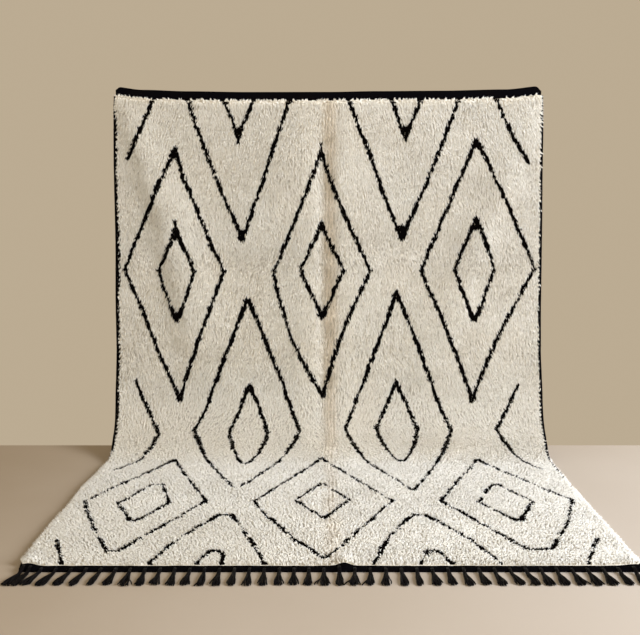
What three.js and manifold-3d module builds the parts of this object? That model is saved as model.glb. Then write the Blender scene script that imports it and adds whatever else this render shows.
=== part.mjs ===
// A beni ourain rug held along its head against a wall and swept forward over the floor.
//
// Millimetres. The origin is the middle of the held top edge, on its wall side. +X runs along that
// edge, +Y points into the wall and +Z up, so the rug hangs down and then comes forward along -Y.
//
// A place on the rug is given by three distances: across (+X), along (from the top edge, down the
// back of the rug and out over the floor) and lift (from the wall or floor, through the thickness).

import * as THREE from "three";
import { mergeVertices } from "three/addons/utils/BufferGeometryUtils.js";
import Module from "manifold-3d";

const wasm = await Module();
wasm.setup();

// ---- Driving dimensions ------------------------------------------------------------------------

const TOP_EDGE_HEIGHT = 1681; // the held edge above the floor
const SWEEP_RADIUS = 353; // of the rug's back, where it turns from hanging to lying
const REACH = 1568; // from the wall to the front of the foot band
const GROUND_WIDTH = 1980; // the woven ground between its two selvedges

const PILE_THICKNESS = 20; // woven ground and wool pile together
const PILE_SHOULDER = 15; // how far in from the ground's edge the pile has its full thickness
const PILE_UNDERSIDE = 9.6; // lift of the overhanging wool above the bands and selvedges

// Locks of wool stand out all round the rim, as tips with roots between them. Each has a reach
// beyond the ground's edge and a lift, and its own unevenness in both.
const LOCK_TIP = { reach: 13, reachSpread: 4.5, lift: 12, liftSpread: 1.2 };
const LOCK_ROOT = { reach: 4, reachSpread: 1.5, lift: 14.5, liftSpread: 0 };
const LOCKS = { head: 30, side: 36, foot: 30 };

const HEAD_BAND_DEPTH = 41;
const FOOT_BAND_DEPTH = 41;
const BAND_THICKNESS = 8;
const SELVEDGE_WIDTH = 9.5;
const SELVEDGE_THICKNESS = 8.2;
const GAP = 0.3; // between two pieces

const TASSELS = 42;
const STRANDS_A_TASSEL = 4;
const TASSEL_LENGTH = 112;
const NECK_LENGTH = 42;
const NECK_WIDTH = 14;
const NECK_HEIGHT = 7.4; // where it parts into strands
const SKIRT_WIDTH = 34;
const UNEVENNESS = { length: 0.07, thickness: 0.12, skirt: 0.12, strand: 0.8, lean: 4 };

// Rows of the front surface down each stretch, and its columns. The back takes every second one.
const ROWS = { hanging: 28, sweep: 14, lying: 22 };
const COLUMNS = 40;

// ---- Sizes worked out from these ---------------------------------------------------------------

const FLOOR = -TOP_EDGE_HEIGHT;
const HANGING = TOP_EDGE_HEIGHT - SWEEP_RADIUS;
const SWEEP = (SWEEP_RADIUS * Math.PI) / 2;
const LYING = REACH - SWEEP_RADIUS;
const FULL_LENGTH = HANGING + SWEEP + LYING;
const PILE_START = HEAD_BAND_DEPTH + GAP;
const PILE_END = FULL_LENGTH - FOOT_BAND_DEPTH - GAP;
const HALF_GROUND = GROUND_WIDTH / 2;

// ---- Tables of how it hangs --------------------------------------------------------------------

// How far the top edge stands above the origin: it sags between two raised corners.
const HELD_EDGE = [
  { across: -1000, rise: 29 },
  { across: -860, rise: 14 },
  { across: -650, rise: 7.5 },
  { across: -380, rise: 4 },
  { across: 0, rise: 4.5 },
  { across: 220, rise: 8 },
  { across: 520, rise: 10 },
  { across: 820, rise: 16 },
  { across: 1000, rise: 32 },
];
const HELD_EDGE_FADE = 700; // the corners' pull dies away over this length

// How far each edge of the ground lies outside its nominal place.
const EDGE_DRIFT = [
  { along: 0, left: -5, right: -1 },
  { along: 120, left: 0, right: 3 },
  { along: 350, left: 3, right: 5 },
  { along: 700, left: 1, right: 8 },
  { along: 1000, left: 5, right: 9 },
  { along: 1200, left: 4, right: 12 },
  { along: 1400, left: 10, right: 21 },
  { along: 1627, left: 1, right: 15 },
  { along: 1790, left: -7, right: 6 },
  { along: 1930, left: 2, right: 5 },
  { along: 2230, left: 16, right: 3 },
  { along: 2450, left: 14, right: 4 },
  { along: 2660, left: 20, right: 8 },
  { along: 2850, left: 21, right: 8 },
  { along: 3000, left: 17, right: 6 },
  { along: 3080, left: 9, right: 4 },
];

// Soft folds in the hanging cloth. Each crest is at `across`, stands `rise` off the wall and falls
// away over `left` on its one flank and `right` on the other.
const CORNER_FOLD_LEFT = [
  { along: 50, across: -965, rise: 0, left: 40, right: 90 },
  { along: 140, across: -918, rise: 10, left: 50, right: 100 },
  { along: 370, across: -838, rise: 21, left: 62, right: 125 },
  { along: 660, across: -742, rise: 24, left: 68, right: 150 },
  { along: 900, across: -690, rise: 22, left: 68, right: 150 },
  { along: 1130, across: -640, rise: 18, left: 74, right: 160 },
  { along: 1290, across: -610, rise: 10, left: 80, right: 170 },
  { along: 1500, across: -560, rise: 0, left: 100, right: 170 },
];
const CORNER_FOLD_RIGHT = [
  { along: 50, across: 965, rise: 0, left: 60, right: 40 },
  { along: 200, across: 940, rise: 11, left: 90, right: 56 },
  { along: 430, across: 828, rise: 18, left: 105, right: 64 },
  { along: 700, across: 712, rise: 20, left: 115, right: 70 },
  { along: 950, across: 605, rise: 17, left: 125, right: 76 },
  { along: 1200, across: 505, rise: 9, left: 130, right: 90 },
  { along: 1420, across: 430, rise: 0, left: 130, right: 100 },
];
// The two banks of the crease that folding left down the middle.
const CREASE_BANK_LEFT = [
  { along: 40, across: -78, rise: 2, left: 130, right: 34 },
  { along: 500, across: -76, rise: 8, left: 130, right: 34 },
  { along: 1300, across: -72, rise: 7, left: 120, right: 36 },
  { along: 1700, across: -70, rise: 0, left: 120, right: 40 },
];
const CREASE_BANK_RIGHT = [
  { along: 40, across: 58, rise: 4, left: 52, right: 150 },
  { along: 500, across: 60, rise: 13, left: 52, right: 160 },
  { along: 1300, across: 54, rise: 10, left: 52, right: 150 },
  { along: 1700, across: 50, rise: 0, left: 52, right: 150 },
];
const FOLDS = [CORNER_FOLD_LEFT, CORNER_FOLD_RIGHT, CREASE_BANK_LEFT, CREASE_BANK_RIGHT];

// Partings in the pile: the middle crease, then three packing folds that run across.
const MIDDLE_PARTING = { across: -24, depth: 5, spread: 26 };
const CROSS_PARTINGS = [
  { along: 850, depth: 3.5, spread: 34 },
  { along: 1245, depth: 3, spread: 36 },
  { along: 1560, depth: 3, spread: 40 },
];

// Hills and hollows of the shag: how far apart they are and how high.
const LUMPS = [
  { size: 210, height: 2.4 },
  { size: 88, height: 1.9 },
];

// Where the front of the foot band buckles up.
const FOOT_HUMPS = [
  { across: 41, rise: 11, spread: 24 },
  { across: -981, rise: 9, spread: 28 },
  { across: 985, rise: 6, spread: 45 },
];

// Where the tassels stand: evenly, but for the first three, which crowd at the left corner.
const TASSEL_SEATS = [
  { number: 0, across: -988 },
  { number: 1, across: -966 },
  { number: 2, across: -931 },
  { number: 21, across: -25 },
  { number: 41, across: 968 },
];

// How far the tassels' ends lean to one side of straight ahead.
const TASSEL_LEAN = [
  { across: -1000, lean: -20 },
  { across: -880, lean: -17 },
  { across: -790, lean: -18 },
  { across: -730, lean: -6 },
  { across: -640, lean: 0 },
  { across: 30, lean: 0 },
  { across: 95, lean: -9 },
  { across: 160, lean: -3 },
  { across: 210, lean: 0 },
  { across: 520, lean: 5 },
  { across: 600, lean: 15 },
  { across: 680, lean: 5 },
  { across: 1000, lean: 2 },
];

// ---- Small helpers -----------------------------------------------------------------------------

const clamp01 = (t) => Math.min(Math.max(t, 0), 1);
const ease = (t) => clamp01(t) ** 2 * (3 - 2 * clamp01(t));
const bell = (t) => Math.exp(-t * t);

// What each made-up number is for, so that no two go together.
const PURPOSE = { lump: 3, lockReach: 1, lockLift: 4, length: 5, thick: 6, lean: 7, skirt: 8, end: 9 };

// A steady made-up number between -1 and 1 for a whole number and a purpose.
function vary(number, purpose) {
  const turned = Math.sin(number * 12.9898 + purpose * 78.233) * 43758.5453;
  return 2 * (turned - Math.floor(turned)) - 1;
}

// Reads one column of a table at a place between its rows, easing from row to row.
function readTable(rows, key, column, at) {
  const after = rows.findIndex((row) => row[key] > at);
  if (after === 0) return rows[0][column];
  if (after === -1) return rows[rows.length - 1][column];
  const low = rows[after - 1];
  const high = rows[after];
  const share = ease((at - low[key]) / (high[key] - low[key]));
  return low[column] + (high[column] - low[column]) * share;
}

// ---- The shape in which it hangs ---------------------------------------------------------------

// The sheet's distance off the wall where its folds stand out. They are gone on the floor.
function billow(across, along) {
  let height = 0;
  for (const rows of FOLDS) {
    const offset = across - readTable(rows, "along", "across", along);
    const flank = readTable(rows, "along", offset < 0 ? "left" : "right", along);
    height += readTable(rows, "along", "rise", along) * bell(offset / flank);
  }
  const settled = ease((along - HANGING) / SWEEP);
  return height * (1 - settled) * ease(along / PILE_START);
}

// A soft made-up relief: hills about `size` apart, between -1 and 1.
function relief(across, along, size, purpose) {
  const column = Math.floor(across / size);
  const row = Math.floor(along / size);
  const right = ease(across / size - column);
  const down = ease(along / size - row);
  const height = (c, r) => vary((column + c) * 57 + (row + r) * 131, purpose);
  const upper = height(0, 0) * (1 - right) + height(1, 0) * right;
  const lower = height(0, 1) * (1 - right) + height(1, 1) * right;
  return upper * (1 - down) + lower * down;
}

// Lumps of the shag and the partings in it, as a change of the pile's height.
function lumps(across, along) {
  let height = LUMPS.reduce(
    (sum, lump) => sum + lump.height * relief(across, along, lump.size, PURPOSE.lump + lump.size),
    0,
  );
  const lying = 0.5 + 0.5 * ease((HANGING + SWEEP - along) / SWEEP);
  const offset = across - MIDDLE_PARTING.across;
  height -= lying * MIDDLE_PARTING.depth * bell(offset / MIDDLE_PARTING.spread);
  for (const parting of CROSS_PARTINGS) {
    height -= parting.depth * bell((along - parting.along) / parting.spread);
  }
  return height;
}

// The point of a place on the rug.
function place(across, along, lift) {
  const hung = Math.exp(-Math.max(along, 0) / HELD_EDGE_FADE) * (1 - ease((along - HANGING) / SWEEP));
  const pull = readTable(HELD_EDGE, "across", "rise", across) * hung;
  const turn = Math.min(Math.max((along - HANGING) / SWEEP_RADIUS, 0), Math.PI / 2);
  const inward = SWEEP_RADIUS - lift;
  const above = Math.min(along, HANGING) - TOP_EDGE_HEIGHT + SWEEP_RADIUS;
  const ahead = Math.max(along - HANGING - SWEEP, 0);
  const y = -SWEEP_RADIUS + inward * Math.cos(turn) - ahead;
  const z = FLOOR + SWEEP_RADIUS - inward * Math.sin(turn) - Math.min(above, 0) + pull;
  return new THREE.Vector3(across, y, z);
}

// Across, at a share from the left edge (0) to the right edge (1), `outset` beyond the ground.
function acrossAt(share, along, outset) {
  const left = -HALF_GROUND - readTable(EDGE_DRIFT, "along", "left", along) - outset;
  const right = HALF_GROUND + readTable(EDGE_DRIFT, "along", "right", along) + outset;
  return left + (right - left) * share;
}

// ---- Meshes ------------------------------------------------------------------------------------

// Collects points and faces, and gives them back as a geometry.
class Skin {
  constructor() {
    this.points = [];
    this.faces = [];
  }

  point(vector) {
    this.points.push(vector.x, vector.y, vector.z);
    return this.points.length / 3 - 1;
  }

  face(a, b, c) {
    this.faces.push(a, b, c);
  }

  quad(a, b, c, d) {
    this.face(a, b, c);
    this.face(a, c, d);
  }

  // Joins two closed rings that carry the same running measure, each vertex as { at, index }.
  band(inner, outer, full) {
    const atOf = (ring, i) => (i < ring.length ? ring[i].at : full);
    const indexOf = (ring, i) => ring[i % ring.length].index;
    let i = 0;
    let o = 0;
    while (i < inner.length || o < outer.length) {
      const innerNext = i < inner.length ? atOf(inner, i + 1) : Infinity;
      const outerNext = o < outer.length ? atOf(outer, o + 1) : Infinity;
      if (innerNext <= outerNext) {
        this.face(indexOf(inner, i), indexOf(inner, i + 1), indexOf(outer, o));
        i += 1;
      } else {
        this.face(indexOf(inner, i), indexOf(outer, o + 1), indexOf(outer, o));
        o += 1;
      }
    }
  }

  geometry() {
    const made = new THREE.BufferGeometry();
    made.setAttribute("position", new THREE.Float32BufferAttribute(this.points, 3));
    made.setIndex(this.faces);
    return made;
  }
}

// A closed solid through a run of rings. Each ring turns clockwise as seen looking back along the run.
function loft(rings) {
  const skin = new Skin();
  const count = rings[0].length;
  const made = rings.map((ring) => ring.map((vector) => skin.point(vector)));
  for (let r = 0; r + 1 < made.length; r += 1) {
    for (let k = 0; k < count; k += 1) {
      const next = (k + 1) % count;
      skin.face(made[r][k], made[r + 1][next], made[r][next]);
      skin.face(made[r][k], made[r + 1][k], made[r + 1][next]);
    }
  }
  const last = made[made.length - 1];
  for (let k = 1; k + 1 < count; k += 1) {
    skin.face(made[0][0], made[0][k], made[0][k + 1]);
    skin.face(last[0], last[k + 1], last[k]);
  }
  return skin.geometry();
}

function toSolid(geometry) {
  const merged = mergeVertices(geometry, 1e-4);
  return new wasm.Manifold(
    new wasm.Mesh({
      numProp: 3,
      vertProperties: new Float32Array(merged.attributes.position.array),
      triVerts: new Uint32Array(merged.index.array),
    }),
  );
}

function toGeometry(solid) {
  const mesh = solid.getMesh();
  const made = new THREE.BufferGeometry();
  made.setAttribute("position", new THREE.Float32BufferAttribute(mesh.vertProperties, 3));
  made.setIndex(Array.from(mesh.triVerts));
  return made;
}

// ---- Pile field --------------------------------------------------------------------------------

// Distances along at which the pile field has its rows.
function rowPlaces() {
  const stretches = [
    { from: PILE_START, to: HANGING, count: ROWS.hanging },
    { from: HANGING, to: HANGING + SWEEP, count: ROWS.sweep },
    { from: HANGING + SWEEP, to: PILE_END, count: ROWS.lying },
  ];
  const places = [PILE_START];
  for (const stretch of stretches) {
    for (let n = 1; n <= stretch.count; n += 1) {
      places.push(stretch.from + ((stretch.to - stretch.from) * n) / stretch.count);
    }
  }
  return places;
}

const ROW_PLACES = rowPlaces();
const EVERY_SECOND = ROW_PLACES.filter((_, n) => n % 2 === 0);

// One place on the rim. The running measure goes once round: 0 to 1 over the head from left to
// right, to 2 down the right side, to 3 back over the foot and to 4 up the left side.
function rimPlace(at, outset) {
  const side = Math.floor(at) % 4;
  const share = at - Math.floor(at);
  const corner = share === 0;
  const start = PILE_START - outset;
  const end = PILE_END + outset;
  if (side === 0) return { across: acrossAt(share, PILE_START, outset), along: start };
  if (side === 2) return { across: acrossAt(1 - share, PILE_END, outset), along: end };
  const down = side === 1 ? share : 1 - share;
  const along = PILE_START + (PILE_END - PILE_START) * down;
  const across = acrossAt(side === 1 ? 1 : 0, along, outset);
  if (!corner) return { across, along };
  return { across, along: side === 1 ? start : end };
}

// A grid of points over the rug, and the ring of its border in the rim's running measure.
function layGrid(skin, rows, columns, pointOf) {
  const grid = rows.map((_, r) =>
    Array.from({ length: columns + 1 }, (_, c) => skin.point(pointOf(r, c / columns))),
  );
  const lastRow = rows.length - 1;
  const downShare = (r) => (rows[r] - PILE_START) / (PILE_END - PILE_START);
  const ring = [];
  for (let c = 0; c < columns; c += 1) ring.push({ at: c / columns, index: grid[0][c] });
  for (let r = 0; r < lastRow; r += 1) ring.push({ at: 1 + downShare(r), index: grid[r][columns] });
  for (let c = columns; c > 0; c -= 1) {
    ring.push({ at: 2 + (columns - c) / columns, index: grid[lastRow][c] });
  }
  for (let r = lastRow; r > 0; r -= 1) ring.push({ at: 4 - downShare(r), index: grid[r][0] });
  return { grid, ring };
}

function faceGrid(skin, grid, outward) {
  for (let r = 0; r + 1 < grid.length; r += 1) {
    for (let c = 0; c + 1 < grid[r].length; c += 1) {
      const a = grid[r][c];
      const b = grid[r][c + 1];
      const d = grid[r + 1][c];
      const e = grid[r + 1][c + 1];
      if (outward) {
        skin.face(a, d, e);
        skin.face(a, e, b);
      } else {
        skin.face(a, e, d);
        skin.face(a, b, e);
      }
    }
  }
}

// The ring of locks: each is a root and a tip, the tips uneven in reach and height.
function lockRing(skin) {
  const ring = [];
  const sides = [LOCKS.head, LOCKS.side, LOCKS.foot, LOCKS.side];
  sides.forEach((count, side) => {
    for (let n = 0; n < 2 * count; n += 1) {
      const at = side + n / (2 * count);
      const seed = side * 100 + n;
      const lock = n % 2 === 1 ? LOCK_TIP : LOCK_ROOT;
      const outset = lock.reach + lock.reachSpread * vary(seed, PURPOSE.lockReach);
      const { across, along } = rimPlace(at, outset);
      const lift = lock.lift + lock.liftSpread * vary(seed, PURPOSE.lockLift);
      ring.push({ at, index: skin.point(place(across, along, lift + billow(across, along))) });
    }
  });
  return ring;
}

function pileField() {
  const skin = new Skin();
  const inset = PILE_SHOULDER;
  const rowsIn = ROW_PLACES.map((along) =>
    Math.min(Math.max(along, PILE_START + inset), PILE_END - inset),
  );
  const front = layGrid(skin, ROW_PLACES, COLUMNS, (r, share) => {
    const across = acrossAt(share, rowsIn[r], -inset);
    const lift = PILE_THICKNESS + billow(across, rowsIn[r]) + lumps(across, rowsIn[r]);
    return place(across, rowsIn[r], lift);
  });
  const backPoint = (lift) => (r, share) => {
    const along = EVERY_SECOND[r];
    const across = acrossAt(share, along, 0);
    return place(across, along, lift + billow(across, along));
  };
  const back = layGrid(skin, EVERY_SECOND, COLUMNS / 2, backPoint(0));
  // The same border again, raised to the underside of the overhanging wool.
  const raised = back.ring.map(({ at }) => {
    const { across, along } = rimPlace(at, 0);
    return { at, index: skin.point(place(across, along, PILE_UNDERSIDE + billow(across, along))) };
  });
  const locks = lockRing(skin);
  faceGrid(skin, front.grid, true);
  faceGrid(skin, back.grid, false);
  skin.band(front.ring, locks, 4);
  skin.band(locks, raised, 4);
  skin.band(raised, back.ring, 4);
  return skin.geometry();
}

// ---- Bands and selvedges -----------------------------------------------------------------------

// The head band, a folded flat-woven hem with a full top roll: depth from the top edge, and lift.
// Its steps are those of the pile field's back, so the two edges run side by side.
const HEAD_SECTION = [
  { depth: 1.6, lift: 0 },
  { depth: HEAD_BAND_DEPTH, lift: 0 },
  { depth: HEAD_BAND_DEPTH, lift: BAND_THICKNESS - 1.5 },
  { depth: HEAD_BAND_DEPTH * 0.55, lift: BAND_THICKNESS - 0.6 },
  { depth: 5, lift: BAND_THICKNESS },
  { depth: 1, lift: BAND_THICKNESS - 2.5 },
  { depth: 0, lift: 2 },
];

function headBand() {
  const rings = [];
  const steps = COLUMNS / 2;
  for (let n = 0; n <= steps; n += 1) {
    const across = acrossAt(n / steps, PILE_START, 0);
    rings.push(HEAD_SECTION.map(({ depth, lift }) => place(across, depth, lift)));
  }
  return loft(rings);
}

// A selvedge: the overcast cord along one side, in step with the pile field's back.
function selvedge(side) {
  const half = SELVEDGE_WIDTH / 2;
  const section = [
    { out: -0.5 * half, lift: 0 },
    { out: -half, lift: SELVEDGE_THICKNESS / 2 },
    { out: -0.5 * half, lift: SELVEDGE_THICKNESS },
    { out: 0.5 * half, lift: SELVEDGE_THICKNESS },
    { out: half, lift: SELVEDGE_THICKNESS / 2 },
    { out: 0.5 * half, lift: 0 },
  ];
  const rings = EVERY_SECOND.map((along) => {
    const ring = section.map(({ out, lift }) => {
      const edge = acrossAt(side === "left" ? 0 : 1, along, GAP + half + out);
      return place(edge, along, lift + billow(acrossAt(side === "left" ? 0 : 1, along, 0), along));
    });
    return side === "left" ? ring.reverse() : ring;
  });
  return loft(rings);
}

// ---- Foot band with its tassels ----------------------------------------------------------------

function hump(across) {
  return FOOT_HUMPS.reduce(
    (height, { across: centre, rise, spread }) => height + rise * bell((across - centre) / spread),
    0,
  );
}

// The foot band's section: distance back from its front edge, and lift.
const FOOT_SECTION = [
  { back: 1, lift: 0 },
  { back: 0, lift: 3 },
  { back: 2.5, lift: BAND_THICKNESS - 0.8 },
  { back: FOOT_BAND_DEPTH * 0.5, lift: BAND_THICKNESS },
  { back: FOOT_BAND_DEPTH, lift: BAND_THICKNESS - 1 },
  { back: FOOT_BAND_DEPTH, lift: 0 },
];
const FOOT_STEPS = 66;
const HUMP_DEPTH = FOOT_BAND_DEPTH * 0.5;

function footStrip() {
  const rings = [];
  for (let n = 0; n <= FOOT_STEPS; n += 1) {
    const across = acrossAt(n / FOOT_STEPS, PILE_END, 0);
    const raised = hump(across);
    rings.push(
      FOOT_SECTION.map(({ back, lift }) => {
        // The buckle is in the top of the band's front; the pile holds the rest of it down.
        const free = lift > BAND_THICKNESS / 2 ? Math.max(1 - back / HUMP_DEPTH, 0) : 0;
        return new THREE.Vector3(across, -REACH + back, FLOOR + lift + raised * free);
      }),
    );
  }
  return loft(rings);
}

// A tassel's neck, as distance ahead of the band, half width at its foot and back, and its lifts.
const NECK_STATIONS = [
  { ahead: -12, foot: 5, back: 3.5, low: 1.2, high: BAND_THICKNESS + 1.6 },
  { ahead: 5, foot: 7, back: 4.6, low: 0, high: BAND_THICKNESS + 0.4 },
];
// A strand past the neck, as a share of its way out, half its width at the foot, and its height.
const STRAND_STATIONS = [
  { out: 0.62, half: 3.4, high: 6.6 },
  { out: 1, half: 2.5, high: 4.4 },
];
const STRAND_BACK = 0.45; // width of a strand's back against its foot
const LEAN_IN_NECK = 0.22; // share of a tassel's lean that its neck takes

// One tassel in one closed skin: a neck that parts into strands of four sides, flat on the floor.
function tassel(middle, number) {
  const skin = new Skin();
  const leaning = readTable(TASSEL_LEAN, "across", "lean", middle);
  const lean = leaning + UNEVENNESS.lean * vary(number, PURPOSE.lean);
  const spread = SKIRT_WIDTH * (1 + UNEVENNESS.skirt * vary(number, PURPOSE.skirt));
  const at = (across, ahead, lift) =>
    skin.point(new THREE.Vector3(middle + across, -REACH - ahead, FLOOR + lift));

  const neck = NECK_STATIONS.map(({ ahead, foot, back, low, high }) => [
    at(-foot, ahead, low),
    at(-back, ahead, high),
    at(back, ahead, high),
    at(foot, ahead, low),
  ]);
  skin.quad(...neck[0]);
  for (let k = 0; k < 4; k += 1) {
    const next = (k + 1) % 4;
    skin.quad(neck[0][next], neck[0][k], neck[1][k], neck[1][next]);
  }

  // Where the neck parts, the strands' edges stand side by side.
  const edges = Array.from({ length: STRANDS_A_TASSEL + 1 }, (_, s) => {
    const across = NECK_WIDTH * (s / STRANDS_A_TASSEL - 0.5) + lean * LEAN_IN_NECK;
    return { low: at(across, NECK_LENGTH, 0), high: at(across, NECK_LENGTH, NECK_HEIGHT) };
  });
  const last = edges[STRANDS_A_TASSEL];
  const [footLeft, backLeft, backRight, footRight] = neck[1];
  skin.quad(edges[0].low, edges[0].high, backLeft, footLeft);
  skin.quad(footRight, backRight, last.high, last.low);
  const parting = edges[STRANDS_A_TASSEL / 2];
  skin.face(backLeft, parting.high, backRight);
  skin.face(footLeft, footRight, parting.low);
  for (let s = 0; s < STRANDS_A_TASSEL; s += 1) {
    const leftHalf = s < STRANDS_A_TASSEL / 2;
    skin.face(edges[s].high, edges[s + 1].high, leftHalf ? backLeft : backRight);
    skin.face(edges[s + 1].low, edges[s].low, leftHalf ? footLeft : footRight);
  }

  for (let s = 0; s < STRANDS_A_TASSEL; s += 1) {
    const seed = number * STRANDS_A_TASSEL + s;
    const seat = (s + 0.5) / STRANDS_A_TASSEL - 0.5;
    const length = TASSEL_LENGTH * (1 + UNEVENNESS.length * vary(seed, PURPOSE.length));
    const fat = 1 + UNEVENNESS.thickness * vary(seed, PURPOSE.thick);
    const start = seat * NECK_WIDTH + lean * LEAN_IN_NECK;
    const end = seat * spread + lean + UNEVENNESS.strand * vary(seed, PURPOSE.end);
    const rings = [[edges[s].low, edges[s].high, edges[s + 1].high, edges[s + 1].low]];
    for (const { out, half, high } of STRAND_STATIONS) {
      const centre = start + (end - start) * out;
      const ahead = NECK_LENGTH + (length - NECK_LENGTH) * out;
      rings.push([
        at(centre - half * fat, ahead, 0),
        at(centre - half * fat * STRAND_BACK, ahead, high * fat),
        at(centre + half * fat * STRAND_BACK, ahead, high * fat),
        at(centre + half * fat, ahead, 0),
      ]);
    }
    for (let r = 0; r < STRAND_STATIONS.length; r += 1) {
      for (let k = 0; k < 4; k += 1) {
        const next = (k + 1) % 4;
        skin.quad(rings[r][next], rings[r][k], rings[r + 1][k], rings[r + 1][next]);
      }
    }
    skin.quad(...rings[STRAND_STATIONS.length].reverse());
  }
  return skin.geometry();
}

// The middle of a numbered tassel's neck, straight between the rows of the table.
function seatOf(number) {
  const after = Math.max(TASSEL_SEATS.findIndex((seat) => seat.number >= number), 1);
  const low = TASSEL_SEATS[after - 1];
  const high = TASSEL_SEATS[after];
  const share = (number - low.number) / (high.number - low.number);
  return low.across + (high.across - low.across) * share;
}

function footFringe() {
  let whole = toSolid(footStrip());
  for (let t = 0; t < TASSELS; t += 1) {
    whole = whole.add(toSolid(tassel(seatOf(t), t)));
  }
  return toGeometry(whole);
}

// ---- The rug -----------------------------------------------------------------------------------

const ivoryWool = () =>
  new THREE.MeshStandardMaterial({ color: 0xddd6c6, roughness: 0.95, metalness: 0 });
const blackWool = () =>
  new THREE.MeshStandardMaterial({ color: 0x17161a, roughness: 0.9, metalness: 0 });

const rug = new THREE.Group();

function addPiece(name, geometry, material) {
  const piece = new THREE.Mesh(geometry, material);
  piece.name = name;
  rug.add(piece);
}

addPiece("pile_field", pileField(), ivoryWool());
addPiece("head_band", headBand(), blackWool());
addPiece("foot_fringe", footFringe(), blackWool());
addPiece("selvedge_left", selvedge("left"), blackWool());
addPiece("selvedge_right", selvedge("right"), blackWool());

export default rug;
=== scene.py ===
"""A beni ourain rug: ivory shag with a black diamond lattice, hung by its head and swept over the floor.

Sizes are in millimetres, and a place on the rug is given as three distances: across (+X), along (from
the held top edge, down the back of the rug and out over the floor) and lift (from the wall or floor,
through the thickness). place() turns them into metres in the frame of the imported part.
"""

import math

import bpy
import numpy as np
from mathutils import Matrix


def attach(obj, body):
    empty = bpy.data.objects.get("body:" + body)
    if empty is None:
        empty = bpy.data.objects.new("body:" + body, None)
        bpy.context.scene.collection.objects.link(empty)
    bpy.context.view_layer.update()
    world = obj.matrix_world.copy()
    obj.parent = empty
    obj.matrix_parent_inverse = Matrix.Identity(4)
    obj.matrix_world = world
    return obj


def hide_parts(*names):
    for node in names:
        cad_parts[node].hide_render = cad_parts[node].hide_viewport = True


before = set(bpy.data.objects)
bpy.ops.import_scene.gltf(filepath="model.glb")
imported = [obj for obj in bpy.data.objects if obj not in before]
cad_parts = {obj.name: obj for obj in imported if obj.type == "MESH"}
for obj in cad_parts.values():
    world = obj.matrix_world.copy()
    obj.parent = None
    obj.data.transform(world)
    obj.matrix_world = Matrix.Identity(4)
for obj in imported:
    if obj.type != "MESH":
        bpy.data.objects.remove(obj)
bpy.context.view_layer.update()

# ---- Camera ------------------------------------------------------------------------------------

SENSOR = 36.0
LENS = 55.08
EYE = (-0.0374, -4.6112, -0.489)
EYE_PITCH = math.radians(4.65)
EYE_SHIFT = -0.0618


def set_camera():
    data = bpy.data.cameras.new("eye")
    data.sensor_width = SENSOR
    data.lens = LENS
    data.shift_y = EYE_SHIFT
    camera = bpy.data.objects.new("eye", data)
    camera.location = EYE
    camera.rotation_euler = (math.pi / 2 - EYE_PITCH, 0, 0)
    bpy.context.scene.collection.objects.link(camera)
    bpy.context.scene.camera = camera


set_camera()

# ---- Sizes of the rug, as in the part's source ----------------------------------------------------

MM = 0.001
TOP_EDGE_HEIGHT = 1681
SWEEP_RADIUS = 353
REACH = 1568
GROUND_WIDTH = 1980
HEAD_BAND_DEPTH = 41
FOOT_BAND_DEPTH = 41
SELVEDGE_WIDTH = 9.5
SELVEDGE_THICKNESS = 8.2
GAP = 0.3
TASSELS = 42
TASSEL_LENGTH = 112
NECK_LENGTH = 42

FLOOR = -TOP_EDGE_HEIGHT
HANGING = TOP_EDGE_HEIGHT - SWEEP_RADIUS
SWEEP = SWEEP_RADIUS * math.pi / 2
LYING = REACH - SWEEP_RADIUS
FULL_LENGTH = HANGING + SWEEP + LYING
PILE_START = HEAD_BAND_DEPTH + GAP
PILE_END = FULL_LENGTH - FOOT_BAND_DEPTH - GAP
HALF_GROUND = GROUND_WIDTH / 2

# ---- Helpers -------------------------------------------------------------------------------------


def ease(t):
    t = np.clip(t, 0, 1)
    return t * t * (3 - 2 * t)


def bell(t):
    return np.exp(-t * t)


# Each unevenness of the rug has a seed of its own, so that no two of them fall in step.
SEED = {
    "lumps": 3, "lock": 5, "tufts": 11, "tassels": 23, "line_wander": 31, "teeth_drift": 33, "line_width": 35,
    "line_gaps": 37, "teeth": 39, "crease_wander": 41, "crease_wave": 43, "overcast_beat": 45,
    "rim_turn": 47, "over_band": 49, "foot_jag": 50, "combing": 51, "knot_backs": 61, "lock_grid": 71,
    "crease_grid": 81, "warmth": 93, "partings": 97, "head_band": 101, "foot_band": 103, "overcast": 107,
}
SCATTER = (12.9898, 78.233, 43758.5453)
CELL_STEP = (57, 131)
LOCK_STEP = (73, 179, 10)


def vary(number, seed):
    """A steady made-up number between -1 and 1 for a whole number and a seed."""
    turned = np.sin(number * SCATTER[0] + seed * SCATTER[1]) * SCATTER[2]
    return 2 * (turned - np.floor(turned)) - 1


def table(columns, *rows):
    """Rows of numbers under named columns. The first column is the one it is read by."""
    return dict(zip(columns.split(), np.array(rows, float).T))


def read(rows, column, at):
    """One column of a table at places along its first column, easing from row to row."""
    keys = next(iter(rows.values()))
    after = np.clip(np.searchsorted(keys, at, side="right"), 1, len(keys) - 1)
    share = ease((at - keys[after - 1]) / (keys[after] - keys[after - 1]))
    return rows[column][after - 1] * (1 - share) + rows[column][after] * share


def relief(across, along, size, seed):
    """A soft made-up relief: hills about `size` apart, between -1 and 1."""
    column, row = np.floor(across / size), np.floor(along / size)
    right, down = ease(across / size - column), ease(along / size - row)

    def height(c, r):
        return vary((column + c) * CELL_STEP[0] + (row + r) * CELL_STEP[1], seed)

    upper = height(0, 0) * (1 - right) + height(1, 0) * right
    lower = height(0, 1) * (1 - right) + height(1, 1) * right
    return upper * (1 - down) + lower * down


# ---- How the rug hangs ---------------------------------------------------------------------------



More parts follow.
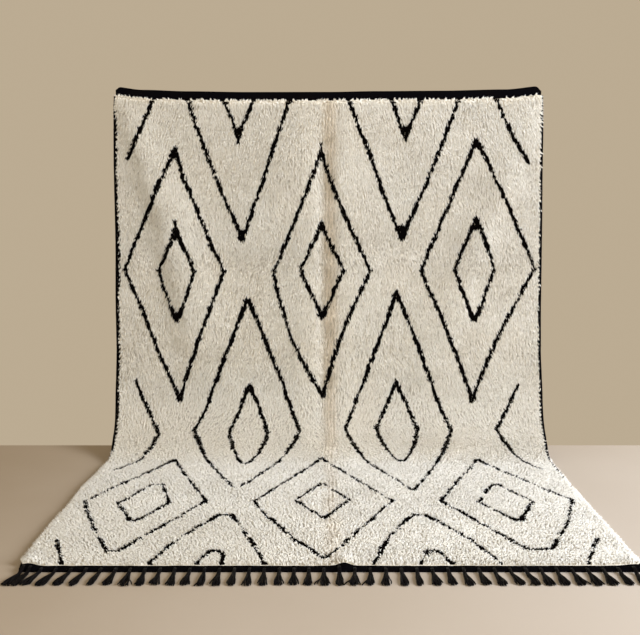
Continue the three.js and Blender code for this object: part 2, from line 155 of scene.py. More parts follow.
def hanging_share(along):
    """1 on the wall, easing to 0 where the sweep meets the floor."""
    return 1 - ease((along - HANGING) / SWEEP)


def lying_share(along):
    """0 as far as the middle of the sweep, easing to 1 where it meets the floor."""
    return ease((along - HANGING - SWEEP / 2) / (SWEEP / 2))


# How far the top edge stands above the origin: it sags between two raised corners.
HELD_EDGE = table(
    "across rise",
    (-1000, 29), (-860, 14), (-650, 7.5), (-380, 4), (0, 4.5), (220, 8), (520, 10), (820, 16), (1000, 32),
)
HELD_EDGE_FADE = 700

# How far each edge of the ground lies outside its nominal place.
EDGE_DRIFT = table(
    "along left right",
    (0, -5, -1), (120, 0, 3), (350, 3, 5), (700, 1, 8), (1000, 5, 9), (1200, 4, 12),
    (1400, 10, 21), (1627, 1, 15), (1790, -7, 6), (1930, 2, 5), (2230, 16, 3), (2450, 14, 4),
    (2660, 20, 8), (2850, 21, 8), (3000, 17, 6), (3080, 9, 4),
)

# Soft folds: the crest's place across, how far it stands off the wall, and its two flanks.
FOLD_COLUMNS = "along across rise left right"
CORNER_FOLD_LEFT = table(
    FOLD_COLUMNS,
    (50, -965, 0, 40, 90), (140, -918, 10, 50, 100), (370, -838, 21, 62, 125), (660, -742, 24, 68, 150),
    (900, -690, 22, 68, 150), (1130, -640, 18, 74, 160), (1290, -610, 10, 80, 170),
    (1500, -560, 0, 100, 170),
)
CORNER_FOLD_RIGHT = table(
    FOLD_COLUMNS,
    (50, 965, 0, 60, 40), (200, 940, 11, 90, 56), (430, 828, 18, 105, 64), (700, 712, 20, 115, 70),
    (950, 605, 17, 125, 76), (1200, 505, 9, 130, 90), (1420, 430, 0, 130, 100),
)
CREASE_BANK_LEFT = table(
    FOLD_COLUMNS,
    (40, -78, 2, 130, 34), (500, -76, 8, 130, 34), (1300, -72, 7, 120, 36), (1700, -70, 0, 120, 40),
)
CREASE_BANK_RIGHT = table(
    FOLD_COLUMNS,
    (40, 58, 4, 52, 150), (500, 60, 13, 52, 160), (1300, 54, 10, 52, 150), (1700, 50, 0, 52, 150),
)
FOLDS = (CORNER_FOLD_LEFT, CORNER_FOLD_RIGHT, CREASE_BANK_LEFT, CREASE_BANK_RIGHT)

# Partings in the pile: one down the middle, shallower on the floor, and three packing folds across.
MIDDLE_PARTING = {"across": -24, "depth": 5, "spread": 26, "on_floor": 0.5, "more_on_wall": 0.5}
CROSS_PARTINGS = table("along depth spread", (850, 3.5, 34), (1245, 3, 36), (1560, 3, 40))
LUMPS = table("size height", (210, 2.4), (88, 1.9))

# Where the foot band buckles up, and how far back the pile rises with it.
FOOT_HUMPS = table("across rise spread", (41, 11, 24), (-981, 9, 28), (985, 6, 45))
HUMP_RUN = 110


def billow(across, along):
    """The sheet's distance off the wall where its folds stand out. They are gone on the floor."""
    height = 0
    for fold in FOLDS:
        offset = across - read(fold, "across", along)
        flank = np.where(offset < 0, read(fold, "left", along), read(fold, "right", along))
        height = height + read(fold, "rise", along) * bell(offset / flank)
    return height * hanging_share(along) * ease(along / PILE_START)


def lumps(across, along):
    """Lumps of the shag and the partings in it, as a change of the pile's height."""
    height = 0
    for size, most in zip(LUMPS["size"], LUMPS["height"]):
        height = height + most * relief(across, along, size, SEED["lumps"] + size)
    kept = MIDDLE_PARTING["on_floor"] + MIDDLE_PARTING["more_on_wall"] * hanging_share(along)
    offset = (across - MIDDLE_PARTING["across"]) / MIDDLE_PARTING["spread"]
    height = height - kept * MIDDLE_PARTING["depth"] * bell(offset)
    for middle, depth, spread in zip(*CROSS_PARTINGS.values()):
        height = height - depth * bell((along - middle) / spread)
    return height


def hump(across, along):
    """How far the foot band's top, and the pile behind it, stand over their usual place."""
    rise = sum(rise * bell((across - at) / spread) for at, rise, spread in zip(*FOOT_HUMPS.values()))
    return rise * ease((along - PILE_END + HUMP_RUN) / HUMP_RUN)


def place(across, along, lift):
    """Metres in the part's frame for places on the rug."""
    hung = np.exp(-np.maximum(along, 0) / HELD_EDGE_FADE) * hanging_share(along)
    pull = read(HELD_EDGE, "rise", across) * hung
    turn = np.clip((along - HANGING) / SWEEP_RADIUS, 0, math.pi / 2)
    inward = SWEEP_RADIUS - lift
    above = HANGING - np.minimum(along, HANGING)
    ahead = np.maximum(along - HANGING - SWEEP, 0)
    y = -SWEEP_RADIUS + inward * np.cos(turn) - ahead
    z = FLOOR + SWEEP_RADIUS - inward * np.sin(turn) + above + pull
    return np.stack(np.broadcast_arrays(across, y, z), -1) * MM


def across_at(share, along, outset=0):
    """Across, at a share from the left edge (0) to the right edge (1), `outset` beyond the ground."""
    left = -HALF_GROUND - read(EDGE_DRIFT, "left", along) - outset
    right = HALF_GROUND + read(EDGE_DRIFT, "right", along) + outset
    return left + (right - left) * share


# ---- The lattice ---------------------------------------------------------------------------------

# Diamonds, in the rows in which the knotter set them out: the head corner, the two side corners at the
# waist, the foot corner, how far each of the four sides bows outwards, how blunt the head and foot
# corners are, how deep each is filled in, and how long a spike it ends in. Those cut by the rug's head
# or foot run on past it.
DIAMOND_COLUMNS = (
    "head_across head left right waist foot_across foot "
    "head_left_bow head_right_bow foot_left_bow foot_right_bow head_blunt foot_blunt "
    "head_fill foot_fill head_spike foot_spike"
)
OUTER_DIAMONDS = table(
    DIAMOND_COLUMNS,
    (-419, -590, -656, -181, 34, -402, 696, 0, 0, 9, 4, 0, 0, 0, 50, 0, 8),
    (355, -570, 97, 612, 34, 349, 676, 0, 0, 6, 5, 0, 10, 0, 56, 0, 0),
    (-717, 266, -954, -489, 836, -705, 1451, 4, -13, 0, -6, 0, 0, 32, 20, 8, 0),
    (-29, 243, -254, 198, 832, -26, 1430, -3, -12, 36, -15, 0, 0, 10, 20, 36, 0),
    (691, 231, 440, 973, 834, 684, 1455, 4, 9, -8, -18, 0, 0, 36, 20, 4, 0),
    (-377, 972, -621, -133, 1612, -377, 2247, 4, 6, 0, 0, 8, 12, 22, 10, 0, 0),
    (325, 939, 84, 573, 1606, 341, 2259, 4, 6, 0, 0, 0, 12, 30, 10, 0, 0),
    (-694, 1828, -956, -483, 2410, -731, 2954, 0, 0, 8, 0, 12, 36, 12, 6, 0, 0),
    (-33, 1811, -296, 247, 2408, -19, 3010, 0, 0, 22, 0, 12, 12, 12, 12, 0, 0),
    (670, 1822, 435, 943, 2402, 700, 2935, 0, 0, 4, 20, 12, 74, 12, 0, 0, 0),
    (-391, 2578, -598, -208, 3100, -400, 3600, 20, 4, 0, 0, 46, 0, 16, 0, 0, 0),
    (331, 2578, 132, 556, 3090, 340, 3600, 20, 20, 0, 0, 46, 0, 16, 0, 0, 0),
)
INNER_DIAMONDS = table(
    DIAMOND_COLUMNS,
    (-419, -140, -500, -335, 10, -419, 240, 0, 0, 0, 0, 0, 0, 0, 40, 0, 32),
    (361, -140, 281, 448, 10, 361, 230, 0, 0, 0, 0, 0, 0, 0, 50, 0, 14),
    (-713, 605, -796, -630, 832, -708, 1066, -4, 0, 2, 4, 0, 8, 42, 34, 38, 4),
    (-27, 609, -127, 75, 826, -26, 1054, 2, -4, 2, 3, 0, 0, 26, 26, 6, 4),
    (690, 600, 597, 785, 828, 688, 1062, 0, 4, 4, 3, 0, 14, 50, 12, 0, 0),
    (-370, 1381, -456, -279, 1622, -372, 1867, 4, 3, 8, 10, 0, 24, 20, 0, 0, 0),
    (322, 1370, 228, 419, 1598, 330, 1834, 4, 3, 8, 10, 0, 24, 20, 0, 0, 0),
    (-708, 2190, -818, -621, 2434, -722, 2654, 0, 0, 0, 0, 40, 14, 14, 16, 0, 0),
    (-28, 2179, -132, 78, 2394, -26, 2607, 0, 0, 0, 0, 14, 12, 14, 14, 0, 0),
    (682, 2190, 576, 789, 2418, 690, 2636, 0, 0, 0, 0, 20, 24, 14, 14, 0, 0),
    (-394, 2950, -436, -354, 3062, -398, 3300, 0, 10, 0, 0, 30, 0, 14, 0, 0, 0),
    (338, 2950, 286, 392, 3062, 344, 3300, 0, 0, 0, 0, 30, 0, 14, 0, 0, 0),
)
# Lines that end in the open by the rug's edges.
EDGE_LINES = table(
    "across_from from across_to to",
    (-807, 34, -932, 322), (774, 34, 850, 196), (850, 196, 934, 342),
    (-907, 1364, -854, 1489), (-854, 1489, -791, 1627), (-791, 1627, -847, 1822), (-847, 1822, -926, 1970),
    (906, 1381, 849, 1489), (849, 1489, 788, 1604), (788, 1604, 860, 1801), (860, 1801, 920, 1954),
    (-947, 2853, -859, 3095), (924, 2837, 819, 3092),
)
LINE_HALF = 8.4
LINE_HALF_LYING = 6.6
LINE_SWELL = {"size": 90, "most": 1.2}
LINE_WANDER = table("size reach", (150, 4), (40, 2.4))
SPIKE = {"half": 5.6, "overlap": 6}
# The outermost knots of a line step from row to row; the rows drift by a share of their pitch.
TEETH = {"pitch": 9.0, "reach": 4.4, "lying": 5.6, "drift": 0.4, "drift_size": 50, "rough_fill": 2}
# How the arms thicken towards a corner that is filled at least this deep.
CORNER_SWELL = {"reach": 46, "most": 5.0, "deep": 20}
# Where the pile lies on the floor it covers parts of the lines.
LYING_GAPS = {"size": 38, "depth": 5.5, "sharpness": 1.6}
# How far in from the overcast edges the knots are black, between locks of ivory.
EDGE_INK = table(
    "along left right",
    (0, 0, 0), (100, 0, 0), (170, 8, 4), (580, 8, 5), (680, 13, 5), (900, 13, 6), (980, 9, 6),
    (1500, 9, 6), (1650, 7, 4), (1800, 0, 2), (2300, 0, 0),
)
# The rhythm in which black knots and locks of ivory follow one another down the overcast edges.
BEAT = {"length": 21.0, "drift": 1.5, "drift_size": 70, "least": 0.25, "most": 1.1}


def lattice_corners():
    """The head and foot corner of every diamond: (across, along), the left and right side corners, the
    bow of each side, how blunt it is, its fill and spike, and which way is into the diamond."""
    corners = []
    for diamonds in (OUTER_DIAMONDS, INNER_DIAMONDS):
        for diamond in zip(*diamonds.values()):
            head_across, head, left, right, waist, foot_across, foot, *shape = diamond
            bows, blunts, fills, spikes = (shape[:2], shape[2:4]), shape[4:6], shape[6:8], shape[8:]
            tips = ((head_across, head), 1), ((foot_across, foot), -1)
            for (tip, way), bow, *ending in zip(tips, bows, blunts, fills, spikes):
                corners.append((tip, (left, waist), (right, waist), *bow, *ending, way))
    return corners


def lattice_lines():
    """Every line of the lattice: its two ends, its bow to one side, how much wider each half of it is
    than LINE_HALF, and its share of CORNER_SWELL at its first end."""
    lines = []
    for (at, tip), left, right, left_bow, right_bow, blunt, fill, spike, way in lattice_corners():
        start, end = ((at + turned * blunt / 2, tip + way * spike) for turned in (-1, 1))
        swell = min(fill / CORNER_SWELL["deep"], 1)
        lines.append((start, left, left_bow * way, 0, swell))
        lines.append((end, right, -right_bow * way, 0, swell))
        if blunt:
            lines.append((start, end, 0, 0, 0))
        if spike:
            base = (at, tip + way * (spike + SPIKE["overlap"]))
            lines.append((base, (at, tip), 0, SPIKE["half"] - LINE_HALF, 0))
    for across_from, start, across_to, end in zip(*EDGE_LINES.values()):
        lines.append(((across_from, start), (across_to, end), 0, 0, 0))
    return lines


def teeth(x, along, side):
    """How far a line's edge stands out or back where its outermost knots step from row to row."""
    drift = TEETH["drift"] * relief(x, along, TEETH["drift_size"], SEED["teeth_drift"])
    row = np.floor(along / TEETH["pitch"] + drift)
    reach = np.where(along > HANGING + SWEEP, TEETH["lying"], TEETH["reach"])
    return reach * vary(row * 3 + np.sign(side), SEED["teeth"])


def beat(along, side):
    """Between 0 and 1: the rhythm in which the overcast edge shows and the ivory locks cover it."""
    drift = BEAT["drift"] * relief(0 * along, along, BEAT["drift_size"], SEED["overcast_beat"] + side)
    return np.abs(np.sin(math.pi * along / BEAT["length"] + drift))


def inked(across, along):
    """Which places the lattice covers: its lines, its filled corners, and the knots by the edges."""
    lying = lying_share(along)
    x = across
    for size, reach in zip(*LINE_WANDER.values()):
        x = x + reach * relief(across, along, size, SEED["line_wander"] + size)
    half = LINE_HALF + (LINE_HALF_LYING - LINE_HALF) * lying
    half = half + LINE_SWELL["most"] * relief(across, along, LINE_SWELL["size"], SEED["line_width"])
    covered = ease(relief(x, along, LYING_GAPS["size"], SEED["line_gaps"]) * LYING_GAPS["sharpness"])
    half = half - LYING_GAPS["depth"] * lying * covered
    found = np.zeros(np.shape(across), bool)
    for start, end, bow, more, swell in lattice_lines():
        run = np.subtract(end, start)
        length = math.hypot(*run)
        from_start = ((x - start[0]) * run[0] + (along - start[1]) * run[1]) / length
        beside = ((x - start[0]) * run[1] - (along - start[1]) * run[0]) / length
        share = np.clip(from_start / length, 0, 1)
        past = from_start - share * length
        offset = beside + 4 * bow * share * (1 - share)
        swollen = swell * CORNER_SWELL["most"] * bell(from_start / CORNER_SWELL["reach"])
        found |= np.hypot(offset, past) < half + more + swollen + teeth(x, along, offset)
    for (at, tip), left, right, _, _, _, fill, spike, way in lattice_corners():
        inside = way * (along - tip) - spike
        share = inside / (abs(left[1] - tip) - spike)
        edges = [at + (side[0] - at) * share for side in (left, right)]
        filled = (inside > 0) & (inside < fill + TEETH["rough_fill"] * teeth(x, along, x))
        found |= filled & (x > edges[0]) & (x < edges[1])
    for side, column in enumerate(("left", "right")):
        inward = np.abs(across_at(side, along) - across)
        found |= inward < read(EDGE_INK, column, along) * (BEAT["least"] + BEAT["most"] * beat(along, side))
    return found


# ---- Finishes ------------------------------------------------------------------------------------


class Term:
    """A shader socket that can stand in a sum."""

    def __init__(self, finish, socket):
        self.finish = finish
        self.socket = socket

    def worked(self, operation, first, second=0.0):
        return self.finish.node("ShaderNodeMath", {"operation": operation}, {0: first, 1: second})

    def __add__(self, other):
        return self.worked("ADD", self, other)

    def __radd__(self, other):
        return self.worked("ADD", other, self)

    def __sub__(self, other):
        return self.worked("SUBTRACT", self, other)

    def __rsub__(self, other):
        return self.worked("SUBTRACT", other, self)

    def __mul__(self, other):
        return self.worked("MULTIPLY", self, other)

    def __rmul__(self, other):
        return self.worked("MULTIPLY", other, self)

    def __pow__(self, other):
        return self.worked("POWER", self, other)

    def wave(self):
        return self.worked("SINE", self)

    def size(self):
        return self.worked("ABSOLUTE", self)


class Finish:
    """A material: one Principled surface with plain values, and the nodes that feed it."""

    def __init__(self, name, **plain):
        self.material = bpy.data.materials.new(name)
        self.material.use_nodes = True
        self.tree = self.material.node_tree
        self.surface = self.tree.nodes["Principled BSDF"]
        for socket, value in plain.items():
            self.surface.inputs[socket.replace("_", " ")].default_value = value

    def node(self, kind, settings=None, inputs=None, output=0):
        made = self.tree.nodes.new(kind)
        for name, value in (settings or {}).items():
            setattr(made, name, value)
        for name, value in (inputs or {}).items():
            self.feed(made.inputs[name], value)
        return Term(self, made.outputs[output])

    def feed(self, socket, value):
        if isinstance(value, Term):
            self.tree.links.new(value.socket, socket)
        else:
            socket.default_value = value

    def attribute(self, name):
        return self.node("ShaderNodeAttribute", {"attribute_name": name}, output="Fac")

    def noise(self, place, scale, detail=2.0):
        return self.node("ShaderNodeTexNoise", None, {"Vector": place, "Scale": scale, "Detail": detail})

    def spot(self):
        return self.node("ShaderNodeTexCoord", output="Object")

    def laid(self, name):
        """A UV map, and its running lengths in the two directions."""
        run = self.node("ShaderNodeUVMap", {"uv_map": name})
        first, second = (self.node("ShaderNodeSeparateXYZ", None, {0: run}, output=n) for n in (0, 1))
        return run, first, second

    def ribs(self, length, pitch, roundness):
        """Round ribs, one to each pitch of a running length."""
        return (length * (math.pi / pitch)).wave().size() ** roundness

    def stretched(self, place, scale):
        return self.node("ShaderNodeVectorMath", {"operation": "MULTIPLY"}, {0: place, 1: scale})

    def mixed(self, share, first, second, blend="MIX"):
        settings = {"data_type": "RGBA", "blend_type": blend, "clamp_factor": True}
        return self.node("ShaderNodeMix", settings, {0: share, 6: first, 7: second}, output=2)

    def grey(self, value):
        return self.node("ShaderNodeCombineColor", None, {0: value, 1: value, 2: value})

    def shaded(self, colour, value):
        return self.mixed(1.0, colour, self.grey(value), blend="MULTIPLY")

    def bumped(self, height, strength, depth):
        inputs = {"Height": height, "Strength": strength, "Distance": depth}
        self.feed(self.surface.inputs["Normal"], self.node("ShaderNodeBump", None, inputs))

    def coloured(self, colour):
        self.feed(self.surface.inputs["Base Color"], colour)


def between(low, high, share):
    """From low to high as a share goes from 0 to 1."""
    return low + (high - low) * share


IVORY_TIP = (0.88, 0.86, 0.79, 1)
# Painted shade: the roots of the tufts and the ground cloth between them take a darker colour, for the shade
# deep in the pile.
IVORY_ROOT_SHADE = (0.60, 0.54, 0.44, 1)
IVORY_WARM = (0.79, 0.695, 0.56, 1)
IVORY_KNOT = (0.66, 0.61, 0.52, 1)
BLACK_TIP = (0.0026, 0.0021, 0.0021, 1)
BLACK_BROWN = (0.0048, 0.0034, 0.0028, 1)
BLACK_BLUE = (0.0019, 0.0023, 0.0044, 1)

SOFT = {"Roughness": 0.92, "Sheen_Weight": 0.15, "Sheen_Roughness": 0.6, "Specular_IOR_Level": 0.2}
SOFT_BLACK = {"Roughness": 0.8, "Specular_IOR_Level": 0.004}
YARN_BLACK = {"Roughness": 0.42, "Specular_IOR_Level": 0.05}

# The scale of each finish's soft clouds of colour and of its fine fibres, and the strength and the
# depth in metres to which its fibres and weave stand out.
CLOUDS = {"ivory": 3.2, "lattice": 9.0, "ground": 4.0, "band": 7.0, "cord": 9.0, "yarn": 11.0, "floor": 1.6}
FIBRES = {"ground": 420.0, "band": 500.0, "cord": 380.0, "yarn": 700.0}
BUMPS = {
    "ivory": (0.4, 0.0012), "lattice": (0.5, 0.0012), "ground": (0.8, 0.0016), "band": (0.7, 0.0011),
    "cord": (0.6, 0.0009), "yarn": (0.6, 0.0009),
}
# Pitches of the weave: the ground's knots and rows, of which 1.7 show as one rib behind, and the bands'
# ribs and picks.
ROW_PITCH = 5.4
KNOT_PITCH = 4.65
GROUND_RIB = 1.7
BAND_RIB = 4.2
BAND_PICK = 2.6


FIBRE_STRETCH = (900.0, 110.0, 1.0)  # hairs over a cell of the map, round the tuft and along it


def tuft_fibres(finish):
    """Fine hairs running from the root of a tuft to its tip."""
    cell = finish.node("ShaderNodeUVMap", {"uv_map": "OFBake"})
    return finish.noise(finish.stretched(cell, FIBRE_STRETCH), 1.0, 3.0)


def ivory_wool():
    wool = Finish("ivory_pile_wool", **SOFT)
    height = wool.attribute("height")
    tone = wool.attribute("tone")
    warmth_and_painted_light = wool.attribute("warmth_and_painted_light")
    fibres = tuft_fibres(wool)
    cloud = wool.noise(wool.spot(), CLOUDS["ivory"])
    # The tips turn warmer with painted shade and warm patches, and cooler with painted light on the floor.
    tip = wool.mixed(warmth_and_painted_light, IVORY_TIP, IVORY_WARM)
    # Painted shade: towards its root a tuft takes the root's darker colour.
    colour = wool.mixed(height, IVORY_ROOT_SHADE, tip)
    shade = tone * between(0.94, 1.06, cloud) * between(0.93, 1.07, fibres)
    wool.coloured(wool.shaded(colour, shade))
    wool.bumped(fibres, *BUMPS["ivory"])
    return wool.material


def black_wool():
    wool = Finish("black_lattice_wool", **SOFT_BLACK)
    tone = wool.attribute("tone")
    fibres = tuft_fibres(wool)
    colour = wool.mixed(wool.noise(wool.spot(), CLOUDS["lattice"]), BLACK_TIP, BLACK_BROWN)
    wool.coloured(wool.shaded(colour, tone * between(0.7, 1.3, fibres)))
    wool.bumped(fibres, *BUMPS["lattice"])
    return wool.material


def woven_ground():
    """The ground cloth: rows of knot backs behind, wool roots in front, coloured darker with painted shade.
    """
    cloth = Finish("ivory_woven_ground", **SOFT)
    run, across, along = cloth.laid("cloth")
    weave = cloth.ribs(across, GROUND_RIB * KNOT_PITCH * MM, 0.4)
    weave = weave * cloth.ribs(along, GROUND_RIB * ROW_PITCH * MM, 0.4)
    fuzz = cloth.noise(run, FIBRES["ground"], 3.0)
    cloud = cloth.noise(run, CLOUDS["ground"])
    colour = cloth.mixed(weave, IVORY_ROOT_SHADE, IVORY_KNOT)
    cloth.coloured(cloth.shaded(colour, 0.86 + 0.16 * cloud + 0.12 * fuzz))
    cloth.bumped(weave + 0.4 * fuzz, *BUMPS["ground"])
    return cloth.material


def black_band():
    """Flat-woven black wool: close ribs over the warp, with a little bloom of loose fibre."""
    cloth = Finish("black_flat_weave", **SOFT_BLACK)
    run, across, around = cloth.laid("cloth")
    weave = cloth.ribs(across, BAND_RIB * MM, 0.5) * cloth.ribs(around, BAND_PICK * MM, 0.6)
    fuzz = cloth.noise(run, FIBRES["band"], 3.0)
    hue = cloth.mixed(cloth.noise(run, CLOUDS["band"]), BLACK_BLUE, BLACK_BROWN)
    cloth.coloured(cloth.shaded(hue, between(0.4, 0.9, weave) * between(0.7, 1.2, fuzz)))
    cloth.bumped(weave + 0.3 * fuzz, *BUMPS["band"])
    return cloth.material


def black_cord():
    """Yarn overcast round the edge, each turn with its own plies."""
    cord = Finish("black_overcast_yarn", **SOFT_BLACK)
    run = cord.node("ShaderNodeUVMap", {"uv_map": "cloth"})
    turns = cord.attribute("turn")
    fibres = cord.noise(cord.stretched(run, (3.0, 1.0, 1.0)), FIBRES["cord"], 3.0)
    hue = cord.mixed(cord.noise(run, CLOUDS["cord"]), BLACK_BLUE, BLACK_BROWN)
    cord.coloured(cord.shaded(hue, between(0.5, 1.3, turns) * between(0.75, 1.25, fibres)))
    cord.bumped(fibres, *BUMPS["cord"])
    return cord.material


def black_yarn():
    """Plied tassel yarn."""
    yarn = Finish("black_tassel_yarn", **YARN_BLACK)
    cell, around, along = yarn.laid("OFBake")
    tone = yarn.attribute("tone")
    plies = (along * YARN_ROWS * PLY_TURN + around * YARN_COLUMNS * 2 * math.pi).wave().size()
    fibres = yarn.noise(cell, FIBRES["yarn"], 3.0)
    hue = yarn.mixed(yarn.noise(yarn.spot(), CLOUDS["yarn"]), BLACK_BLUE, BLACK_BROWN)
    yarn.coloured(yarn.shaded(hue, tone * between(0.6, 1.1, plies) * between(0.75, 1.25, fibres)))
    yarn.bumped(plies + 0.4 * fibres, *BUMPS["yarn"])
    return yarn.material


# ---- Meshes --------------------------------------------------------------------------------------


def make_piece(name, points, faces, material, maps=None, attributes=None):
    """A smooth-shaded mesh from points in metres and arrays of faces, each array of one kind of face.

    maps hold a (corners, 2) array for each UV map, in the order of the faces; attributes one number
    for each point."""
    points = np.asarray(points, np.float32).reshape(-1, 3)
    corners = np.concatenate([group.ravel() for group in faces]).astype(np.int32)
    sizes = np.concatenate([np.full(len(group), group.shape[1]) for group in faces])
    starts = np.concatenate([[0], np.cumsum(sizes)[:-1]])
    mesh = bpy.data.meshes.new(name)
    mesh.vertices.add(len(points))
    mesh.vertices.foreach_set("co", points.ravel())
    mesh.loops.add(len(corners))
    mesh.loops.foreach_set("vertex_index", corners)
    mesh.polygons.add(len(sizes))
    mesh.polygons.foreach_set("loop_start", starts.astype(np.int32))
    mesh.update(calc_edges=True)
    for map_name, uv in (maps or {}).items():
        layer = mesh.uv_layers.new(name=map_name)
        layer.uv.foreach_set("vector", np.asarray(uv, np.float32).ravel())
    for attribute_name, values in (attributes or {}).items():
        attribute = mesh.attributes.new(attribute_name, "FLOAT", "POINT")
        attribute.data.foreach_set("value", np.asarray(values, np.float32).ravel())
    mesh.validate()
    mesh.shade_smooth()
    mesh.materials.append(material)
    piece = bpy.data.objects.new(name, mesh)
    bpy.context.scene.collection.objects.link(piece)
    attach(piece, "root")
    return piece


CELL_INSET = 0.12  # the margin of a cell, so that neighbours in the map don't bleed into each other


def cell_maps(count, columns, rows, corner_u, corner_v):
    """UV cells in a grid, one for each of `count` like forms, from the corners' places in a cell."""
    u = CELL_INSET + (1 - 2 * CELL_INSET) * np.asarray(corner_u)
    v = CELL_INSET + (1 - 2 * CELL_INSET) * np.asarray(corner_v)
    number = np.arange(count)[:, None]
    return np.stack([(number % columns + u) / columns, (number // columns + v) / rows], -1)


def sleeve(name, rings, material, measure_along, measure_around, attributes=None):
    """A closed skin through rings of points in metres, with its two ends filled.

    A ring starts and ends on the same side, so point k faces point -1 - k across it."""
    count, around = rings.shape[:2]
    index = np.arange(count * around).reshape(count, around)
    following = np.roll(index, -1, 1)
    walls = np.stack([index[:-1], following[:-1], following[1:], index[1:]], -1).reshape(-1, 4)
    u = np.stack([measure_along[:-1], measure_along[:-1], measure_along[1:], measure_along[1:]], -1)
    u = np.repeat(u[:, None], around, 1)
    v = np.stack([measure_around[:-1], measure_around[1:], measure_around[1:], measure_around[:-1]], -1)
    v = np.repeat(v[None], count - 1, 0)
    pairs = np.arange(around // 2 - 1)
    ends = []
    for ring, flip in ((index[0], False), (index[-1], True)):
        end = np.stack([ring[pairs], ring[-1 - pairs], ring[-2 - pairs], ring[pairs + 1]], -1)
        ends.append(end[:, ::-1] if flip else end)
    end_u = np.repeat([measure_along[0], measure_along[-1]], len(pairs) * 4)
    end_v = np.tile(measure_around[np.stack([pairs, pairs, pairs + 1, pairs + 1], -1)].ravel(), 2)
    uv = np.stack([np.concatenate([u.ravel(), end_u]), np.concatenate([v.ravel(), end_v])], -1)
    faces = [np.concatenate([walls, *ends])]
    return make_piece(name, rings, faces, material, {"cloth": uv * MM}, attributes)


# ---- Ground cloth --------------------------------------------------------------------------------

GROUND_LIFT = 8.5
GROUND_BACK = 1.2
GROUND_ROWS = 128
GROUND_COLUMNS = 132
SHAG_SHARE = 0.35


def ground_front(across, along):
    """Lift of the ground's front, which follows the pile's hills at a share of their height."""
    sheet = billow(across, along) + hump(across, along)
    return GROUND_LIFT + sheet + SHAG_SHARE * lumps(across, along)


def ground_cloth():
    along = np.linspace(PILE_START, PILE_END, GROUND_ROWS + 1)[:, None]
    share = np.linspace(0, 1, GROUND_COLUMNS + 1)[None]
    across = across_at(share, along)
    front = place(across, along, ground_front(across, along))
    back = place(across, along, GROUND_BACK + billow(across, along))[:, ::-1]
    rings = np.concatenate([front, back], 1)
    around = np.concatenate([share[0] * GROUND_WIDTH, (2 - share[0, ::-1]) * GROUND_WIDTH, [0]])
    around[-1] = around[-2] + GROUND_LIFT
    return sleeve("woven_ground", rings, woven_ground(), along[:, 0], around)


# ---- Tufts ---------------------------------------------------------------------------------------

TUFT_LENGTH = 23.0
TUFT_WIDTH = 8.4
TUFT_DEPTH = 6.2
TILT = 50.0  # degrees that a tuft leans from upright
LYING_TILT = 3  # and how many more it leans on the floor
LEAST_LEAN = 0.01  # so that a tuft pulled both ways still has a direction
STRAY = 26.0  # degrees that one tuft's lean may turn from its neighbours'
SEEN_AT = 0.75  # the share of its reach at which it is seen
ROOT_DEPTH = 1.2  # how far below the ground's front its root lies
SLOPE_STEP = 6  # the distance over which the slope below it is taken
BASE = {"ridge": 0.6, "heel": 0.4, "ridge_height": 0.3}  # its root's shape, and the ridge's height on it, between the root's painted shade and the tip's colour
INK_STANDS = 1.3  # how far the lattice's tufts stand over the ivory
UNEVEN = {"length": 0.16, "width": 0.2, "depth": 0.2, "tilt": 6}  # how far single tufts differ
PILE_PIECES = 4  # the ivory tufts are parted into this many pieces, from head to foot

# Within these distances of a side or an end the wool is shorter, stands up and turns out over the edge.
RIM = {"side": 11.0, "end": 13.0, "shorter": 0.22, "steeper": 14}
SIDE_TURN = {"most": 0.95, "beat": 1.25, "uneven": 0.3, "uneven_size": 60, "bare_from": 90, "bare_over": 80}
SIDE_TURN_END = {"from": 0.6, "over": 200}  # where down the sweep the sides' beat ends
END_TURN = {"most": 1.3, "uneven": 0.7, "width": 12}
# The locks by the foot stand open and reach unevenly over the foot band.
FOOT_LOCKS = {"from": 75, "over": 60, "open": 0.9}
FOOT_JAG = {"width": 8, "reach": 6}

# Where the pile has been combed to one side: degrees that its tips turn from straight down.
COMBED = table(
    "along across turn reach_along reach_across",
    (400, -955, 55, 220, 60), (720, -800, 78, 130, 110), (775, -340, -85, 55, 280),
    (755, 250, 82, 55, 300), (850, 620, -60, 70, 160), (420, 905, -42, 240, 80),
    (1230, -860, 44, 110, 120), (1240, -480, -66, 60, 130), (1245, 420, 64, 60, 200),
    (1560, -650, -50, 120, 200), (1560, 640, 52, 120, 200), (2100, -300, 34, 160, 260),
    (2300, 480, -36, 200, 260), (2750, -620, -38, 160, 260),
)
SWIRLS = table("size turn", (240, 30), (95, 34), (40, 24))
LEAN_SHARE = 0.12  # how much of the combing turns the tufts themselves; it all turns the locks

# The strip of standing locks down the middle, the banks beside it, and how its tufts differ.
CREASE = {
    "across": 8, "spread": 40, "banks": 95, "falloff": 1.5, "least": 0.35,
    "wander": 5, "wander_size": 160, "on_floor": 0.45, "more_on_wall": 0.55,
    "wave": 15, "wave_length": 38, "wave_drift": 2.4, "wave_size": 90,
    "facing": 0.5, "gap": 0.62, "longer": 0.16, "flatter": 4,
}

# Locks: their size in the pile and in the crease, and how their middles are shifted.
LOCK_GRID = {"across": 14, "along": 25}
CREASE_GRID = {"across": 15, "along": 46}
LOCK_TURN = 22.5  # degrees between the ways in which locks lie
LOCK_SHIFT = {"bend": 0.35, "bend_size": 1.3, "off": 0.2}
# How far locks part: as a rule, less on the floor, by lock, in patches, and in rows across.
PARTING = {"usual": 0.35, "lying": 0.2, "by_lock": 0.9, "patches": 0.5, "patch_size": 120, "rows": 0.6}
OPEN_ROWS = table("along reach", (775, 50), (1240, 34), (1545, 40))
# Where in a lock its gap begins, and how far tufts beside it sink into the gap.
LOCK_GAP = {"from": 0.58, "over": 0.2, "end": 0.8, "sinks": 3.0}
# How far the tips are drawn to the middle of their lock.
PULL = {"lock": 2.2, "crease": 3.4, "ink": 0.3, "closed": 0.4, "opening": 0.6}
